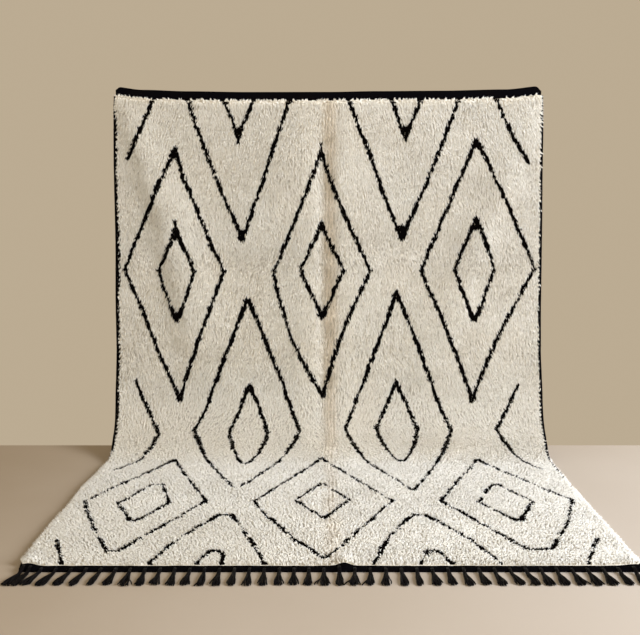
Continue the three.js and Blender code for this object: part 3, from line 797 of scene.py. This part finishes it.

# How light the wool is down the rug: lighter from 1000 to 1250, darker in the bend with painted shade for the
# pile's own shadow there, and darker again at the foot.
TONE_AND_BEND_SHADE = table(
    "along tone",
    (0, 1), (650, 1), (1000, 1.05), (1250, 1.05), (1480, 0.94), (1600, 0.93), (1760, 1), (3020, 1),
    (3060, 0.9),
)
# Tone: at random by tuft and by lock, lighter down the crease and on its banks, and darker at the gaps
# between locks, which is painted shade.
TONE_AND_SHADE = {"tuft": 0.05, "lock": 0.03, "crease": 0.04, "banks": 0.05, "gap": 0.3}
# Warmth of the tips: a little everywhere and in patches at random; much more down the crease, partly the
# wool's own colour and partly painted shade in the parting; less on the floor, painted light for the cooler
# light that falls there; and more at the gaps between locks, painted shade.
WARMTH_AND_PAINTED_LIGHT = {"usual": 0.08, "crease": 0.95, "patches": 0.12, "patch_size": 170, "lying": 0.14, "gap": 0.5}

# Knots: how near the ends they come, how far in pitches each may stray, and how rows are stepped.
KNOTS = {"first": 2, "end": 1, "stray": 0.28, "start": 0.25, "step": 0.5}


def knot_places(draw):
    """Across and along of every knot, in rows half a knot out of step with their neighbours."""
    rows = np.arange(PILE_START + KNOTS["first"], PILE_END - KNOTS["end"], ROW_PITCH)
    knots = int(GROUND_WIDTH / KNOT_PITCH)
    row, knot = (grid.ravel() for grid in np.meshgrid(np.arange(len(rows)), np.arange(knots), indexing="ij"))
    along = rows[row] + KNOTS["stray"] * ROW_PITCH * draw.uniform(-1, 1, len(row))
    begun = knot + KNOTS["start"] + KNOTS["step"] * (row % 2)
    share = (begun + KNOTS["stray"] * draw.uniform(-1, 1, len(row))) / knots
    along = np.clip(along, PILE_START + KNOTS["end"], PILE_END - KNOTS["end"])
    return across_at(share, along), along


def crease_share(across, along):
    """How much a place belongs to the strip of standing locks down the middle."""
    wander = relief(across * 0, along, CREASE["wander_size"], SEED["crease_wander"])
    centre = CREASE["across"] + CREASE["wander"] * wander
    kept = CREASE["on_floor"] + CREASE["more_on_wall"] * hanging_share(along)
    return kept * bell((across - centre) / CREASE["spread"]) ** CREASE["falloff"]


def crease_wave(across, along):
    """Degrees that the standing locks down the middle turn, one way and the other."""
    drift = CREASE["wave_drift"] * relief(across, along, CREASE["wave_size"], SEED["crease_wave"])
    return CREASE["wave"] * np.sin(along / CREASE["wave_length"] + drift)


def combing(across, along):
    """Degrees that the pile has been combed round from lying straight down."""
    turn = 0
    for size, most in zip(*SWIRLS.values()):
        turn = turn + most * relief(across, along, size, SEED["combing"] + size)
    for at, side, swing, reach_along, reach_across in zip(*COMBED.values()):
        turn = turn + swing * bell((along - at) / reach_along) * bell((across - side) / reach_across)
    return turn


def locks(across, along, comb, grid, seed):
    """The lock a tuft belongs to: how far the tuft lies beside and below its middle, in halves of the
    lock, which way the lock lies in radians, and its number."""
    facing = np.radians(LOCK_TURN * np.round(comb / LOCK_TURN))
    beside = across * np.cos(facing) - along * np.sin(facing)
    below = across * np.sin(facing) + along * np.cos(facing)
    bend = relief(beside, below, LOCK_SHIFT["bend_size"] * grid["along"], seed)
    beside = beside + LOCK_SHIFT["bend"] * grid["across"] * bend
    column = np.floor(beside / grid["across"])
    below = below + grid["along"] * vary(column, seed)
    row = np.floor(below / grid["along"])
    number = column * LOCK_STEP[0] + row * LOCK_STEP[1] + np.round(facing * LOCK_STEP[2])
    off = beside / grid["across"] - column - 0.5 - LOCK_SHIFT["off"] * vary(number, seed)
    return 2 * off, 2 * (below / grid["along"] - row - 0.5), facing, number


def outward(across, along):
    """How far out a place faces, across and along, over its nearest edges, and how near they are."""
    left, right = across_at(0, along), across_at(1, along)
    sides = [1 - ease(distance / RIM["side"]) for distance in (across - left, right - across)]
    ends = [1 - ease(distance / RIM["end"]) for distance in (along - PILE_START, PILE_END - along)]
    return sides[1] - sides[0], ends[1] - ends[0], np.max([*sides, *ends], 0)


def rim_turn(along, side):
    """How strongly the wool at a side turns out over the overcast edge."""
    hanging = 1 - ease((along - HANGING - SIDE_TURN_END["from"] * SWEEP) / SIDE_TURN_END["over"])
    bare = ease((along - SIDE_TURN["bare_from"]) / SIDE_TURN["bare_over"])  # the wool hides it by the head
    uneven = relief(0 * along, along, SIDE_TURN["uneven_size"], SEED["rim_turn"] + side)
    beats = SIDE_TURN["beat"] * beat(along, side) * bare * hanging
    return SIDE_TURN["most"] - beats + SIDE_TURN["uneven"] * uneven


def leaning(across, along, turn):
    """The direction in which tufts turned so far lean, across and along, how far they face the head or
    the foot, and how near they are to an edge."""
    out_across, out_along, rim = outward(across, along)
    over_side = np.where(out_across < 0, rim_turn(along, 0), rim_turn(along, 1))
    uneven = vary(np.floor(across / END_TURN["width"]), SEED["over_band"])
    over_end = END_TURN["most"] + END_TURN["uneven"] * uneven
    lean_across = np.sin(turn) + over_side * out_across
    lean_along = np.cos(turn) + over_end * out_along
    length = np.hypot(lean_across, lean_along) + LEAST_LEAN
    return lean_across / length, lean_along / length, out_along, rim


def partings(across, along, number, in_crease, lying):
    """How open the gap beside a tuft's lock is, from 0 to 1."""
    patches = relief(across, along, PARTING["patch_size"], SEED["partings"])
    strength = PARTING["usual"] - PARTING["lying"] * lying
    strength = strength + PARTING["by_lock"] * vary(number, SEED["lock"]) + PARTING["patches"] * patches
    for at, reach in zip(*OPEN_ROWS.values()):
        strength = strength + PARTING["rows"] * bell((along - at) / reach)
    by_foot = ease((along - PILE_END + FOOT_LOCKS["from"]) / FOOT_LOCKS["over"])
    opened = np.where(in_crease, CREASE["gap"], np.clip(strength, 0, 1))
    return np.maximum(opened, FOOT_LOCKS["open"] * by_foot)


def standing(across, along, points):
    """Metres for the points of tufts with their roots at across and along. Each point is given as how
    far aside and down it lies from the root, and how far up off the slope of the ground below it."""
    root = ground_front(across, along) - ROOT_DEPTH
    rise_across = ground_front(across + SLOPE_STEP, along) - ground_front(across - SLOPE_STEP, along)
    rise_along = ground_front(across, along + SLOPE_STEP) - ground_front(across, along - SLOPE_STEP)
    slope_across, slope_along = rise_across / (2 * SLOPE_STEP), rise_along / (2 * SLOPE_STEP)
    placed = []
    for aside, down, up in points:
        lift = root + up + slope_across * aside + slope_along * down
        placed.append(place(across + aside - slope_across * up, along + down - slope_along * up, lift))
    return np.stack(placed, 1)


def tufts():
    """Every tuft as four points in metres, three round its root and its tip; whether it is one of the
    lattice's; its height, tone and warmth at each point, which carry painted shade and light as well as the
    wool's own colour; and its root's across and along."""
    draw = np.random.default_rng(SEED["tufts"])
    across, along = knot_places(draw)
    count = len(across)

    def spread(most):
        return most * draw.uniform(-1, 1, count)

    lying = lying_share(along)
    crease = crease_share(across, along)
    in_crease = crease > CREASE["least"]
    comb = np.where(in_crease, crease_wave(across, along), combing(across, along))
    turn = np.radians(np.where(in_crease, 1, LEAN_SHARE) * comb + spread(STRAY))
    lean_across, lean_along, out_along, rim = leaning(across, along, turn)

    tuft = TUFT_LENGTH * (1 + spread(UNEVEN["length"])) * (1 - RIM["shorter"] * rim)
    tuft = tuft * (1 + CREASE["longer"] * crease)
    wide = TUFT_WIDTH * (1 + spread(UNEVEN["width"]))
    deep = TUFT_DEPTH * (1 + spread(UNEVEN["depth"]))
    tilt = TILT + spread(UNEVEN["tilt"]) + LYING_TILT * lying
    tilt = np.radians(tilt + CREASE["flatter"] * crease - RIM["steeper"] * rim)

    # A tuft takes its ink and its lock from where it is seen, near its tip.
    reach = tuft * np.sin(tilt)
    seen = across + SEEN_AT * reach * lean_across, along + SEEN_AT * reach * lean_along
    ink = inked(*seen)
    own = locks(*seen, comb, LOCK_GRID, SEED["lock_grid"])
    wider = locks(*seen, comb * CREASE["facing"], CREASE_GRID, SEED["crease_grid"])
    beside, _, facing, number = (np.where(in_crease, other, usual) for usual, other in zip(own, wider))
    open_gap = partings(across, along, number, in_crease, lying)
    gap = open_gap * ease((np.abs(beside) - LOCK_GAP["from"]) / LOCK_GAP["over"])
    gap = gap * (np.abs(own[1]) < LOCK_GAP["end"]) * (1 - rim) * ~ink

    # Its tip is drawn to the middle of its lock, and sinks where the lock ends in a gap.
    pull = np.where(in_crease, PULL["crease"], PULL["lock"]) * beside * (1 - rim)
    pull = pull * np.where(ink, PULL["ink"], 1) * (PULL["closed"] + PULL["opening"] * open_gap)
    jag = FOOT_JAG["reach"] * vary(np.floor(across / FOOT_JAG["width"]), SEED["foot_jag"])
    tip = (
        reach * lean_across - pull * np.cos(facing),
        reach * lean_along + pull * np.sin(facing) + jag * np.maximum(out_along, 0),
        tuft * np.cos(tilt) - LOCK_GAP["sinks"] * gap + INK_STANDS * ink,
    )
    up = (-np.cos(tilt) * lean_across, -np.cos(tilt) * lean_along, np.sin(tilt))
    side = (lean_along, -lean_across, 0)
    ridge = [BASE["ridge"] * deep * u for u in up]
    right = [0.5 * wide * s - BASE["heel"] * deep * u for u, s in zip(up, side)]
    left = [-0.5 * wide * s - BASE["heel"] * deep * u for u, s in zip(up, side)]
    placed = standing(across, along, (ridge, right, left, tip))

    tone = 1 + spread(TONE_AND_SHADE["tuft"]) + TONE_AND_SHADE["lock"] * vary(number, SEED["lock"])
    banks = (np.abs(across - CREASE["across"]) - CREASE["banks"]) / CREASE["spread"]
    banks = bell(banks) * (1 - lying)
    tone = tone * (1 + TONE_AND_SHADE["crease"] * crease + TONE_AND_SHADE["banks"] * banks)
    # Painted shade: tufts at the gaps between locks are darker, and the tone run adds painted shade in the
    # bend.
    tone = tone * (1 - TONE_AND_SHADE["gap"] * gap) * read(TONE_AND_BEND_SHADE, "tone", along)
    patches = relief(across, along, WARMTH_AND_PAINTED_LIGHT["patch_size"], SEED["warmth"])
    # Painted light and shade: warmer down the crease and at the gaps, cooler on the floor, besides warm
    # patches at random.
    warmth_and_painted_light = WARMTH_AND_PAINTED_LIGHT["crease"] * crease + WARMTH_AND_PAINTED_LIGHT["usual"] + WARMTH_AND_PAINTED_LIGHT["patches"] * patches
    warmth_and_painted_light = np.clip(warmth_and_painted_light - WARMTH_AND_PAINTED_LIGHT["lying"] * lying + WARMTH_AND_PAINTED_LIGHT["gap"] * gap, 0, 1)
    # The height runs from root to tip; low on a tuft its colour darkens towards the root's painted shade.
    heights = np.tile([BASE["ridge_height"], 0.0, 0.0, 1.0], (count, 1))
    tones, warmths_and_painted_light = (np.repeat(values[:, None], 4, 1) for values in (tone, warmth_and_painted_light))
    return placed, ink, {"height": heights, "tone": tones, "warmth_and_painted_light": warmths_and_painted_light}, across, along


# The three walls of a tuft, and where their corners lie in its cell of the map.
TUFT_WALLS = np.array([(0, 3, 1), (1, 3, 2), (2, 3, 0)])
TUFT_U = np.array([(k / 3, (k + 0.5) / 3, (k + 1) / 3) for k in range(3)])
TUFT_V = np.array([(0, 1, 0)] * 3)


def tuft_piece(name, chosen, placed, attributes, material):
    points = placed[chosen]
    count = len(points)
    faces = (4 * np.arange(count)[:, None, None] + TUFT_WALLS).reshape(-1, 3)
    columns = math.ceil(math.sqrt(count))
    uv = cell_maps(count, columns, columns, TUFT_U.ravel()[None], TUFT_V.ravel()[None])
    own = {key: values[chosen] for key, values in attributes.items()}
    piece = make_piece(name, points, [faces], material, {"OFBake": uv}, own)
    return piece


# The back of a knot: its size, and the lifts of its base and its tip, which alone stands out behind.
KNOT_BACK = {"wide": 9.2, "deep": 10.8, "base": 2.4, "tip": 0.1, "tone": 0.3}


def knot_backs(across, along, material):
    """The backs of the black knots, which draw the lattice on the reverse: low pyramids."""
    corners = np.array([(-1, -1), (1, -1), (1, 1), (-1, 1), (0, 0)])
    x = across[:, None] + corners[:, 0] * KNOT_BACK["wide"] / 2
    y = along[:, None] + corners[:, 1] * KNOT_BACK["deep"] / 2
    lift = np.where(corners.any(1), KNOT_BACK["base"], KNOT_BACK["tip"])
    points = place(x, y, lift + billow(across, along)[:, None])
    walls = np.array([(k, (k + 1) % 4, 4) for k in range(4)])
    faces = (len(corners) * np.arange(len(across))[:, None, None] + walls).reshape(-1, 3)
    columns = math.ceil(math.sqrt(len(across)))
    square = (corners[walls.ravel()] + 1) / 2
    uv = cell_maps(len(across), columns, columns, square[None, :, 0], square[None, :, 1])
    number = np.repeat(np.arange(len(across)), len(corners))
    tone = 1 + KNOT_BACK["tone"] * vary(number, SEED["knot_backs"])
    return make_piece("lattice_knot_backs", points, [faces], material, {"OFBake": uv}, {"tone": tone})


def pile():
    placed, ink, attributes, across, along = tufts()
    wool = ivory_wool()
    ivory = np.flatnonzero(~ink)
    ordered = ivory[np.argsort(along[ivory], kind="stable")]
    made = []
    for number, chosen in enumerate(np.array_split(ordered, PILE_PIECES)):
        made.append(tuft_piece(f"ivory_tufts_{number + 1}", chosen, placed, attributes, wool))
    dark = black_wool()
    lattice = tuft_piece("lattice_tufts", np.flatnonzero(ink), placed, attributes, dark)
    backs = knot_backs(across[ink], along[ink], dark)
    return [*made, lattice, backs]


# ---- Bands and selvedges -------------------------------------------------------------------------

HEAD_PROFILE = table(
    "depth lift",
    (3, 0.4), (24, 0.3), (39, 0.4), (41, 2.6), (40.6, 5.8), (36, 6.6), (28, 7.2),
    (20, 7.7), (11, 8.0), (6, 8.1), (2.8, 7.2), (0.8, 5.2), (0.2, 2.6), (1.0, 0.9),
)
FOOT_PROFILE = table(
    "back lift",
    (3, 0.2), (1.0, 0.7), (0.1, 2.4), (0.3, 4.6), (1.6, 6.6), (4, 7.7), (9, 8.1),
    (18, 8.1), (32, 7.8), (39, 7.3), (41, 5.5), (41, 1.5), (39, 0.2), (20, 0.1),
)
HEAD_CORNERS = table("across drop reach", (-988, 15, 12), (992, 22, 15))  # where the hem is turned in
BAND_STEPS = 300
# The upper side of a band is uneven: how far, over what size across, and how much shorter along.
HEAD_UNEVEN = {"most": 0.5, "size": 34}
FOOT_UNEVEN = {"most": 0.6, "size": 30}
BAND_GRAIN = 3
UPPER_SIDE = 4  # a profile's points above this lift are uneven
BUCKLING = 5  # and those of the foot band above this lift rise where it buckles up


def band_face(profile, edge, uneven, seed):
    """Places over a band, its profile carried from side to side: across, the profile's distance from
    the band's outer edge and its uneven lift; and the running length round the profile."""
    across = across_at(np.linspace(0, 1, BAND_STEPS + 1)[:, None], edge)
    depth, lift = (column[None] for column in profile.values())
    grain = relief(across, depth * BAND_GRAIN, uneven["size"], seed) * (lift > UPPER_SIDE)
    closed = np.stack([*profile.values()], -1)[[*range(depth.size), 0]]
    around = np.concatenate([[0], np.cumsum(np.hypot(*np.diff(closed, axis=0).T))])
    return across, depth, lift + uneven["most"] * grain, around


def head_band():
    across, depth, lift, around = band_face(HEAD_PROFILE, PILE_START, HEAD_UNEVEN, SEED["head_band"])
    cut = sum(drop * bell((across - end) / reach) for end, drop, reach in zip(*HEAD_CORNERS.values()))
    rings = place(across, depth + cut * (1 - depth / HEAD_BAND_DEPTH), lift)
    return sleeve("head_band_weave", rings[::-1], black_band(), across[::-1, 0], around)


def foot_band():
    across, back, lift, around = band_face(FOOT_PROFILE, PILE_END, FOOT_UNEVEN, SEED["foot_band"])
    raised = hump(across, FULL_LENGTH) * (FOOT_PROFILE["lift"] > BUCKLING)
    rings = place(across, FULL_LENGTH - back, lift + raised)
    return sleeve("foot_band_weave", rings, black_band(), across[:, 0], around)


OVERCAST_PITCH = 9.0
OVERCAST_STEPS = 3.6  # rings to each turn
OVERCAST_SIDES = 8
OVERCAST_SWELL = 0.13
OVERCAST_UNEVEN = {"most": 0.05, "size": 26}


def selvedge(name, side):
    """The overcast edge: yarn wound slantwise round the outermost warps."""
    count = int((PILE_END - PILE_START) / OVERCAST_PITCH * OVERCAST_STEPS)
    along = np.linspace(PILE_START, PILE_END, count)[:, None]
    angle = 2 * math.pi * np.arange(OVERCAST_SIDES)[None] / OVERCAST_SIDES
    hand = 1 if side else -1
    turn = np.abs(np.sin(math.pi * along / OVERCAST_PITCH - angle / 2 * hand))
    swell = 1 - OVERCAST_SWELL + OVERCAST_SWELL * turn
    uneven = 1 + OVERCAST_UNEVEN["most"] * relief(along * 0, along, OVERCAST_UNEVEN["size"], SEED["overcast"])
    out = GAP + SELVEDGE_WIDTH / 2 * (1 + np.cos(angle) * swell * uneven)
    lift = SELVEDGE_THICKNESS / 2 * (1 + np.sin(angle) * swell * uneven)
    edge = across_at(side, along)
    rings = place(edge + hand * out, along, lift + billow(edge, along))
    if side == 0:
        rings, turn = rings[:, ::-1], turn[:, ::-1]
    around = np.arange(OVERCAST_SIDES + 1) * math.pi * SELVEDGE_WIDTH / OVERCAST_SIDES
    return sleeve(name, rings, black_cord(), along[:, 0], around, {"turn": turn})


# ---- Tassels -------------------------------------------------------------------------------------

YARNS = 15
YARN_RADIUS = table("out radius", (0, 1.25), (0.35, 1.5), (0.5, 1.9), (0.85, 2.15), (0.97, 2.2), (1, 1.3))
YARN_SIDES = 5
YARN_STATIONS = np.array([0.0, 0.09, 0.16, 0.25, 0.36, 0.46, 0.58, 0.72, 0.87, 0.97, 1.0])
YARN_COLUMNS = 26
YARN_ROWS = 25
PLY_TURN = 42.0  # radians by which the plies turn over a yarn's length
YARN_REST = 0.15  # how far over the floor a yarn lies
YARN_END = 1.2  # how far its rounded end stands out
YARN_MAP_END = 0.96  # how much of its cell its length takes up
TASSEL_ROOT = -16  # how far back on the band a tassel starts
SKIRT_START = 0.7 * NECK_LENGTH  # how far out its skirt begins to open
TWIST_START = 5
LEAN_START, LEAN_POWER = 4, 0.8
GOLDEN_ANGLE = math.radians(137.5)
# How far tassels differ from one another, and how far yarns differ within a tassel: the outer ones are
# shorter, all of them curl, and the last few in a hundred stray.
TASSELS_DIFFER = {"lean": 3, "skirt": 0.25, "length": 3, "parting": 4, "closed": 1.2, "sharpness": 3}
YARNS_DIFFER = {"outer": 15, "length": 3, "aside": 2.2, "low": 0.6, "high": 1.2, "size": 0.1, "tone": 0.5}
CURL = {"most": 1.5, "length": 9, "uneven": 3}
RAISED = {"back": 6, "over": 40}  # where a tassel that starts on a buckle comes down
STRAYS = {"from": 0.93, "most": 22}

# Where the tassels stand on the band: evenly, but for the first three, which crowd at the left corner.
TASSEL_SEATS = table("number across", (0, -988), (1, -966), (2, -931), (21, -25), (41, 968))
TASSEL_LEAN = table(
    "across lean",
    (-1000, -20), (-880, -17), (-790, -18), (-730, -6), (-640, 0), (30, 0), (95, -9), (160, -3),
    (210, 0), (520, 5), (600, 15), (680, 5), (1000, 2),
)
# The middle of a tassel's bundle: distance ahead, lift, half width and half height.
BUNDLE = table(
    "ahead lift wide high",
    (-16, 8.2, 4.4, 1.4), (-6, 8.7, 5.2, 2.4), (2, 7.6, 5.4, 3.2), (12, 5.4, 5.6, 3.8),
    (30, 4.8, 6.4, 4.0), (44, 4.6, 8.0, 4.2), (62, 4.8, 11.5, 4.4), (82, 4.6, 14.5, 4.0),
    (100, 3.9, 15.5, 3.2), (112, 3.2, 14.0, 2.4),
)
BUNDLE_TWIST = math.radians(70)


def tassel_yarns():
    """The run of every yarn as (tassels, yarns, stations) arrays of across, ahead and lift, and the
    drawer of made-up numbers."""
    draw = np.random.default_rng(SEED["tassels"])
    middle = np.interp(np.arange(TASSELS), TASSEL_SEATS["number"], TASSEL_SEATS["across"])[:, None, None]
    yarn = np.arange(YARNS)[None, :, None]
    out = YARN_STATIONS[None, None]
    one, each = (TASSELS, 1, 1), (TASSELS, YARNS, 1)

    lean = read(TASSEL_LEAN, "lean", middle) + TASSELS_DIFFER["lean"] * draw.uniform(-1, 1, one)
    skirt = 1 + TASSELS_DIFFER["skirt"] * draw.uniform(-1, 1, one)
    seat = np.sqrt((yarn + 0.5) / YARNS)
    end = TASSEL_LENGTH + TASSELS_DIFFER["length"] * draw.uniform(-1, 1, one)
    end = end - YARNS_DIFFER["outer"] * seat**4 + YARNS_DIFFER["length"] * draw.uniform(-1, 1, each)
    ahead = TASSEL_ROOT + (end - TASSEL_ROOT) * out

    # A sunflower's seats share out the round bundle, and the seats turn as the neck twists.
    angle = yarn * GOLDEN_ANGLE + draw.uniform(0, 2 * math.pi, one)
    angle = angle + BUNDLE_TWIST * ease((ahead - TWIST_START) / NECK_LENGTH)
    wide, high = read(BUNDLE, "wide", ahead), read(BUNDLE, "high", ahead)
    opened = ease((ahead - SKIRT_START) / (TASSEL_LENGTH - SKIRT_START))
    aside = seat * np.cos(angle)
    parted = np.maximum(draw.uniform(-TASSELS_DIFFER["closed"], 1, one), 0) * TASSELS_DIFFER["parting"]
    parted = parted * np.tanh(TASSELS_DIFFER["sharpness"] * aside)
    across = middle + wide * (1 + (skirt - 1) * opened) * aside + parted * opened
    across = across + lean * ease((ahead - LEAN_START) / (TASSEL_LENGTH - LEAN_START)) ** LEAN_POWER
    across = across + YARNS_DIFFER["aside"] * opened * draw.uniform(-1, 1, each)
    curl = draw.uniform(0, 2 * math.pi, each)
    curl = curl + ahead / (CURL["length"] + CURL["uneven"] * draw.uniform(-1, 1, each))
    across = across + CURL["most"] * opened * np.sin(curl)
    stray = draw.uniform(0, 1, each) > STRAYS["from"]
    across = across + stray * opened**2 * STRAYS["most"] * draw.uniform(-1, 1, each)
    lift = read(BUNDLE, "lift", ahead) + high * seat * np.sin(angle)
    lift = lift + opened * draw.uniform(-YARNS_DIFFER["low"], YARNS_DIFFER["high"], each)
    raised = hump(middle, FULL_LENGTH) * (1 - ease((ahead + RAISED["back"]) / RAISED["over"]))
    return across, ahead, lift + raised, draw


def yarn_faces(count, stations, tip):
    """The walls and the closing faces of every yarn, from rings of points and a last point at its tip,
    and their places in the map."""
    index = np.arange(stations * YARN_SIDES).reshape(stations, YARN_SIDES)
    following = np.roll(index, -1, 1)
    walls = np.stack([index[:-1], following[:-1], following[1:], index[1:]], -1).reshape(-1, 4)
    close = np.stack([index[-1], following[-1], np.full(YARN_SIDES, tip)], -1)
    first = (tip + 1) * np.arange(count)[:, None, None]
    faces = [(first + walls).reshape(-1, 4), (first + close).reshape(-1, 3)]

    side_u = np.stack([np.arange(YARN_SIDES), np.arange(YARN_SIDES) + 1], -1) / YARN_SIDES
    wall_u = np.tile(side_u[:, [0, 1, 1, 0]], (stations - 1, 1))
    run_v = np.stack([YARN_STATIONS[:-1], YARN_STATIONS[1:]], -1) * YARN_MAP_END
    wall_v = np.repeat(run_v[:, [0, 0, 1, 1]], YARN_SIDES, 0)
    close_u = np.stack([side_u[:, 0], side_u[:, 1], side_u.mean(1)], -1)
    close_v = np.tile([YARN_MAP_END, YARN_MAP_END, 1.0], (YARN_SIDES, 1))
    uv = [
        cell_maps(count, YARN_COLUMNS, YARN_ROWS, u.ravel()[None], v.ravel()[None]).reshape(-1, 2)
        for u, v in ((wall_u, wall_v), (close_u, close_v))
    ]
    return faces, {"OFBake": np.concatenate(uv)}


def tassels():
    across, ahead, lift, draw = tassel_yarns()
    shape = across.shape
    radius = read(YARN_RADIUS, "radius", YARN_STATIONS)[None, None]
    radius = radius * (1 + YARNS_DIFFER["size"] * draw.uniform(-1, 1, (*shape[:2], 1)))
    lift = np.maximum(lift, radius + YARN_REST)
    run = place(across, FULL_LENGTH + ahead, lift).reshape(-1, shape[2], 3)
    radius = (radius + 0 * across).reshape(-1, shape[2]) * MM
    heading = np.gradient(run, axis=1)
    heading /= np.linalg.norm(heading, axis=2, keepdims=True)
    side = np.cross(heading, (0.0, 0.0, 1.0))
    side /= np.linalg.norm(side, axis=2, keepdims=True)
    up = np.cross(side, heading)
    angle = 2 * math.pi * np.arange(YARN_SIDES) / YARN_SIDES
    rings = run[:, :, None] + radius[:, :, None, None] * (
        np.cos(angle)[:, None] * side[:, :, None] + np.sin(angle)[:, None] * up[:, :, None]
    )
    ends = run[:, -1:] + heading[:, -1:] * YARN_END * MM
    count, stations = rings.shape[:2]
    points = np.concatenate([rings.reshape(count, -1, 3), ends], 1)
    faces, maps = yarn_faces(count, stations, points.shape[1] - 1)
    tone = np.repeat(1 + YARNS_DIFFER["tone"] * draw.uniform(-1, 1, (count, 1)), points.shape[1], 1)
    return make_piece("foot_tassels", points, faces, black_yarn(), maps, {"tone": tone})


# ---- Studio --------------------------------------------------------------------------------------


FLOOR_CORNERS = ((-4.0, -5.5), (4.0, -5.5), (4.0, 0.05), (-4.0, 0.05))
FLOOR_BELOW = 0.0005  # metres that it lies below the rug
# The floor's two colours are painted light and shade: its shaded left and its lit right.
FLOOR_PAINTED_SHADE = (0.35, 0.28, 0.20, 1)
FLOOR_PAINTED_LIGHT = (0.56, 0.50, 0.43, 1)
WORLD_COLOUR = (0.50, 0.41, 0.29, 1)


def studio():
    corners = [(x, y, FLOOR * MM - FLOOR_BELOW) for x, y in FLOOR_CORNERS]
    mesh = bpy.data.meshes.new("floor")
    mesh.from_pydata(corners, [], [(0, 1, 2, 3)])
    plaster = Finish("pale_floor", Roughness=0.85, Specular_IOR_Level=0.2)
    cloud = plaster.noise(plaster.spot(), CLOUDS["floor"], 5.0)
    aside = plaster.node("ShaderNodeSeparateXYZ", None, {0: plaster.spot()})
    share = 0.5 + 0.3 * aside + 0.25 * (cloud - 0.5)  # painted light: lighter to the right, where the lamps stand, and darker to the left, with soft clouds
    plaster.coloured(plaster.mixed(share, FLOOR_PAINTED_SHADE, FLOOR_PAINTED_LIGHT))
    mesh.materials.append(plaster.material)
    floor = bpy.data.objects.new("floor", mesh)
    bpy.context.scene.collection.objects.link(floor)

    world = bpy.data.worlds.new("studio")
    world.use_nodes = True
    sky = world.node_tree.nodes["Background"]
    sky.inputs["Color"].default_value = WORLD_COLOUR
    sky.inputs["Strength"].default_value = 1.0
    bpy.context.scene.world = world
    bpy.context.scene.view_settings.view_transform = "Standard"


# Each lamp's place, size in metres, watts and colour. They all point at the middle of the rug.
LAMPS = {
    "key": ((9.5, -5.6, 2.5), 4.5, 1460, (1.0, 0.98, 0.96)),
    "side": ((3.9, -3.4, 0.6), 2.2, 186, (0.62, 0.75, 1.0)),
    "level": ((-0.2, -6.0, -1.0), 2.6, 146, (1.0, 0.97, 0.87)),
}
RUG_MIDDLE = (0.0, -0.5, -0.9)


def lamp(name, at, size, watts, colour):
    """A soft square lamp."""
    data = bpy.data.lights.new(name, "AREA")
    data.size = size
    data.energy = watts
    data.color = colour
    light = bpy.data.objects.new(name, data)
    light.location = at
    x, y, z = np.subtract(RUG_MIDDLE, at)
    light.rotation_euler = (math.atan2(math.hypot(x, y), -z), 0, math.atan2(y, x) - math.pi / 2)
    bpy.context.scene.collection.objects.link(light)


def lights():
    for name, settings in LAMPS.items():
        lamp(name, *settings)


# ---- The rug -------------------------------------------------------------------------------------


def rug():
    cloth = ground_cloth()
    wool = pile()
    head = head_band()
    foot = foot_band()
    left = selvedge("left_overcast_edge", 0)
    right = selvedge("right_overcast_edge", 1)
    fringe = tassels()
    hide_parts("pile_field")
    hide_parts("head_band")
    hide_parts("foot_fringe")
    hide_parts("selvedge_left")
    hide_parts("selvedge_right")
    (PILE_END - PILE_START) * MM


rug()
studio()
lights()
